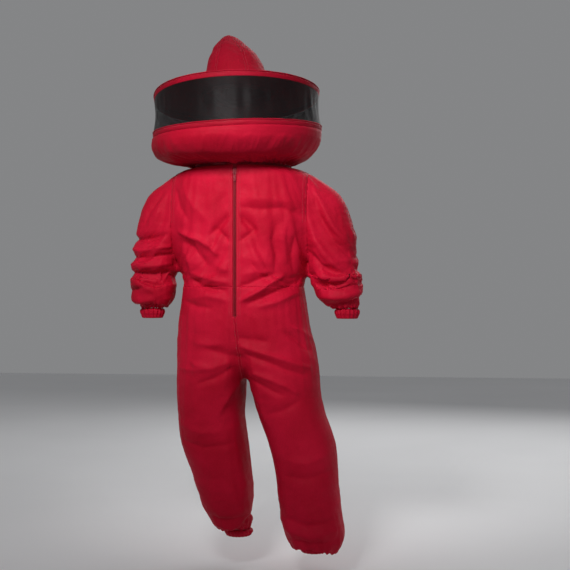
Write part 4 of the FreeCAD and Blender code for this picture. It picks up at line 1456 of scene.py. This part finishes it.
def cloth_material(name, deep, bright, pitch=0.0007, crinkle=0.0011, sheen=0.10, rough=(0.5, 0.66)):
    """Plain-woven cloth: threads both ways, small crinkles, slightly uneven dye and a soft sheen."""
    s = Shader(name)
    wander = s.noise(7, 3, 0.6)
    flecks = s.noise(420, 2, 0.6)
    colour = s.ramp(wander, [(0.33, deep), (0.68, bright)])
    colour = s.mix(0.16, colour, s.ramp(flecks, [(0.38, tuple(c * 0.55 for c in deep)), (0.66, bright)]))
    warp = s.math("MAXIMUM", s.wave("X", pitch, 0.4), s.wave("Y", pitch, 0.4))
    threads = s.math("ADD", s.math("MULTIPLY", warp, 0.5), s.math("MULTIPLY", s.wave("Z", pitch, 0.4), 0.5))
    colour = s.mix(s.math("MULTIPLY", threads, 0.12), colour, tuple(c * 0.6 for c in deep))
    rumple = s.noise(46, 4, 0.6, (1.0, 1.0, 0.7), 0.8)
    normal = s.bump(rumple, crinkle, 0.85)
    normal = s.bump(threads, 0.00012, 0.7, normal)
    roughness = s.value_ramp(s.noise(90, 3, 0.5), *rough)
    return s.finish(colour, roughness, normal, Sheen_Weight=sheen, Sheen_Roughness=0.42,
                    Sheen_Tint=(1.0, 0.03, 0.08, 1), Specular_IOR_Level=0.08)


def thread_material():
    s = Shader("thread")
    strand = s.noise(900, 2, 0.5)
    colour = s.ramp(strand, [(0.3, (0.34, 0.004, 0.014)), (0.7, (0.56, 0.014, 0.04))])
    return s.finish(colour, s.value_ramp(strand, 0.38, 0.55), s.bump(strand, 0.0001, 0.5),
                    Sheen_Weight=0.15, Specular_IOR_Level=0.4)


def rib_material(name, deep, bright, axis, pitch):
    """Elastic or tape: close ribs along it with a fine weave between."""
    s = Shader(name)
    ribs = s.wave(axis, pitch, 0.25)
    weave = s.noise(1100, 2, 0.6)
    colour = s.mix(s.math("MULTIPLY", ribs, 0.7), deep, bright)
    colour = s.mix(0.2, colour, s.ramp(weave, [(0.35, tuple(c * 0.5 for c in deep)), (0.7, bright)]))
    normal = s.bump(ribs, pitch * 0.3, 0.9)
    normal = s.bump(weave, 0.0001, 0.5, normal)
    return s.finish(colour, s.value_ramp(s.noise(150), 0.5, 0.68), normal, Sheen_Weight=0.12,
                    Specular_IOR_Level=0.3)


def plastic_material(name, deep, bright, rough):
    s = Shader(name)
    cloud = s.noise(160, 4, 0.6)
    scuffs = s.noise(60, 5, 0.7, (1, 1, 6))
    colour = s.ramp(cloud, [(0.3, deep), (0.72, bright)])
    normal = s.bump(scuffs, 0.00012, 0.4)
    return s.finish(colour, s.value_ramp(scuffs, *rough), normal, Specular_IOR_Level=0.2)


def metal_material(name, deep, bright, rough, metallic):
    s = Shader(name)
    brushed = s.noise(120, 4, 0.65, (1, 14, 1))
    worn = s.noise(240, 3, 0.7)
    colour = s.ramp(worn, [(0.34, deep), (0.74, bright)])
    normal = s.bump(brushed, 0.00008, 0.5)
    s.out.inputs["Metallic"].default_value = metallic
    return s.finish(colour, s.value_ramp(brushed, *rough), normal)


def net_material():
    s = Shader("net_thread")
    twist = s.noise(700, 2, 0.5)
    tint = s.noise(5, 2, 0.5)
    colour = s.ramp(tint, [(0.35, (0.0040, 0.0034, 0.0038)), (0.7, (0.0095, 0.0065, 0.0072))])
    return s.finish(colour, s.value_ramp(twist, 0.42, 0.62), s.bump(twist, 0.00015, 0.6),
                    Sheen_Weight=0.04, Specular_IOR_Level=0.12)


def floor_material():
    s = Shader("studio_floor")
    cloud = s.noise(0.8, 3, 0.5)
    colour = s.ramp(cloud, [(0.3, (0.80, 0.80, 0.81)), (0.7, (0.85, 0.85, 0.86))])
    return s.finish(colour, s.value_ramp(s.noise(3), 0.6, 0.75), s.bump(s.noise(90, 3), 0.0006, 0.3))


RED_DEEP = (0.43, 0.0030, 0.0200)
RED_BRIGHT = (0.60, 0.0065, 0.0360)
# The hat, brim and skirt reds are darker than the suit's: partly the hat's own deeper red, partly painted shade.
HAT_DEEP_RED_AND_SHADE = (0.34, 0.0024, 0.0150)
HAT_BRIGHT_RED_AND_SHADE = (0.48, 0.0050, 0.0280)


def make_materials():
    return {
        "poplin": cloth_material("poplin", RED_DEEP, RED_BRIGHT),
        # hat_cloth and brim_cloth carry the darker hat reds: partly their own colour, partly painted shade.
        "hat_cloth": cloth_material("hat_cloth", HAT_DEEP_RED_AND_SHADE, HAT_BRIGHT_RED_AND_SHADE, crinkle=0.0008, sheen=0.07),
        "brim_cloth": cloth_material("brim_cloth", HAT_DEEP_RED_AND_SHADE, HAT_BRIGHT_RED_AND_SHADE, crinkle=0.0004, sheen=0.05),
        "binding": cloth_material("binding_cloth", (0.26, 0.0022, 0.012), (0.40, 0.0045, 0.024), 0.0006, 0.0005),
        "thread": thread_material(),
        "net": net_material(),
        "elastic": rib_material("elastic", (0.30, 0.003, 0.014), (0.5, 0.008, 0.03), "Z", 0.0012),
        "sweatband": rib_material("sweatband", (0.33, 0.006, 0.02), (0.52, 0.02, 0.05), "Z", 0.0022),
        "tape": rib_material("zip_tape", (0.33, 0.0026, 0.014), (0.48, 0.0046, 0.024), "Z", 0.0009),
        "teeth": plastic_material("zip_teeth", (0.20, 0.0018, 0.008), (0.30, 0.0036, 0.017), (0.42, 0.6)),
        "enamel": metal_material("zip_enamel", (0.16, 0.0018, 0.008), (0.28, 0.004, 0.018), (0.26, 0.42), 0.35),
        "steel": metal_material("hoop_steel", (0.48, 0.47, 0.46), (0.66, 0.65, 0.63), (0.22, 0.4), 1.0),
    }


def dress(obj, material):
    obj.data.materials.clear()
    obj.data.materials.append(material)


# ---- the whole -----------------------------------------------------------------------------------
SHOWN_CAD = {
    "neck_zip_lower_tape": "tape", "neck_zip_upper_tape": "tape",
    "front_zip_tape_left": "tape", "front_zip_tape_right": "tape",
    "neck_facing": "binding", "front_zip_bottom_stop": "teeth",
    "front_zip_slider": "enamel", "front_zip_pull": "enamel",
    "neck_zip_slider": "enamel", "neck_zip_pull": "enamel",
    "sweatband": "sweatband",
    "wrist_elastic_left": "elastic", "wrist_elastic_right": "elastic",
    "ankle_elastic_left": "elastic", "ankle_elastic_right": "elastic",
}
PANEL_THICKNESS = 0.0011


def bend_with(obj, name):
    """Bakes the placement of a sleeve or trouser piece into its points; it is not bent."""
    if name.startswith("sleeve"):
        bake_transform(obj)
    else:
        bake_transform(obj)


def build_suit(mats):
    suit = suit_block()
    open_ends(suit)
    simulate(suit)
    refine = suit.modifiers.new("refine", "SUBSURF")
    refine.levels = 1
    apply_modifiers(suit)
    finer_near_cuffs(suit)
    seam_lines(suit)
    fold_suit(suit)
    surface = Surface(suit)
    threads = suit_stitches(surface)
    elastic = waist_elastic(surface)
    dress(elastic, mats["elastic"])
    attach(elastic, "suit")
    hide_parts("waist_elastic")
    panels = split_panels(suit)
    replaced = {
        "upper_front_left": ["upper_front_left"], "upper_front_right": ["upper_front_right"],
        "upper_back": ["upper_back"],
        "sleeve_left": ["sleeve_front_left", "sleeve_back_left"],
        "sleeve_right": ["sleeve_front_right", "sleeve_back_right"],
        "trousers_left": ["trouser_front_left", "trouser_back_left", "leg_front_left", "leg_back_left"],
        "trousers_right": ["trouser_front_right", "trouser_back_right", "leg_front_right", "leg_back_right"],
    }
    for name, panel in panels.items():
        panel.name = name + "_cloth"
        thicken(panel, PANEL_THICKNESS)
        dress(panel, mats["poplin"])
        if name.startswith("upper"):
            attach(panel, "suit")
        else:
            bend_with(panel, name)
        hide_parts(*replaced[name])
    for name, piece in threads.items():
        dress(piece, mats["thread"])
        if name == "suit":
            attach(piece, "suit")
        else:
            bend_with(piece, name)
    return panels


def build_cuffs(mats):
    for k, ((place, side), (top, radius, height)) in enumerate(CUFFS.items()):
        node = f"{place}_cuff_{side}"
        cuff = gathered_cuff(node + "_cloth", top, radius, height, 1.3 * k)
        dress(cuff, mats["poplin"])
        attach(cuff, ("sleeve_" if place == "wrist" else "leg_") + side)
        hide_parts(node)


def build_zips(mats):
    for side in ("left", "right"):
        teeth = front_teeth(side)
        dress(teeth, mats["teeth"])
        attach(teeth, "suit")
        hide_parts("front_zip_chain_" + side)
    for half, body in (("upper", "hood"), ("lower", "suit")):
        teeth = neck_teeth(half)
        dress(teeth, mats["teeth"])
        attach(teeth, body)
        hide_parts(f"neck_zip_{half}_chain")


def build_hood(mats):
    crown = hat_crown()
    threads = [crown_stitches(crown)]
    cloth_brim, brim_threads = brim()
    rim = BRIM_R - 0.0006
    binding = band("brim_binding_cloth", brim_point, rim, -0.0118, 0.0018, 0.0012, [(0.0008, 0.0015)],
                   [(rim - 0.0050, -0.0116), (rim - 0.0052, -0.0010), (rim - 0.0056, 0.0024),
                    (rim - 0.0020, 0.0028)], 2.0)
    hoop = HOOP_R - 0.0012
    casing = band("hoop_casing_cloth", hoop_point, hoop, -0.0068, 0.0068, 0.0021,
                  [(0.0058, 0.0017)],
                  [(hoop - 0.0030, -0.0060), (hoop - 0.0048, 0.0), (hoop - 0.0030, 0.0060)], 6.0)
    threads += [brim_threads, binding[2], casing[2]]
    brim_wire = wire("brim_wire_ring", brim_point, rim - 0.0021, -0.0048)
    hoop_wire = wire("lower_hoop_ring", hoop_point, hoop - 0.0021, 0.0)
    net = veil_net()
    strip = back_strip()
    skirt = veil_skirt()
    plain = [(crown, "hat_cloth", "poplin", ["hat_crown"]), (cloth_brim, "brim_cloth", "brim", ["hat_brim"]),
             (binding[0], "binding", "binding", ["brim_binding"]), (binding[1], "binding", "binding", []),
             (casing[0], "binding", "binding", ["hoop_casing"]), (casing[1], "binding", "binding", []),
             (net, "net", "net", ["veil_mesh"]), (strip, "binding", "binding", ["veil_back_seam"]),
             (skirt, "hat_cloth", "poplin", ["veil_skirt"]), (brim_wire, "steel", "hoop_steel", ["brim_wire"]),
             (hoop_wire, "steel", "hoop_steel", ["lower_hoop"])]
    plain += [(piece, "thread", "binding", []) for piece in threads]
    for piece, material, slot, nodes in plain:
        dress(piece, mats[material])
        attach(piece, "hood")
        if nodes:
            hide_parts(*nodes)
    return skirt


def main():
    add_camera()
    add_lights()
    mats = make_materials()
    add_floor()
    panels = build_suit(mats)
    build_cuffs(mats)
    build_zips(mats)
    build_hood(mats)
    for node, material in SHOWN_CAD.items():
        dress(frame["nodes"][node], mats[material])
    bpy.context.view_layer.update()


main()
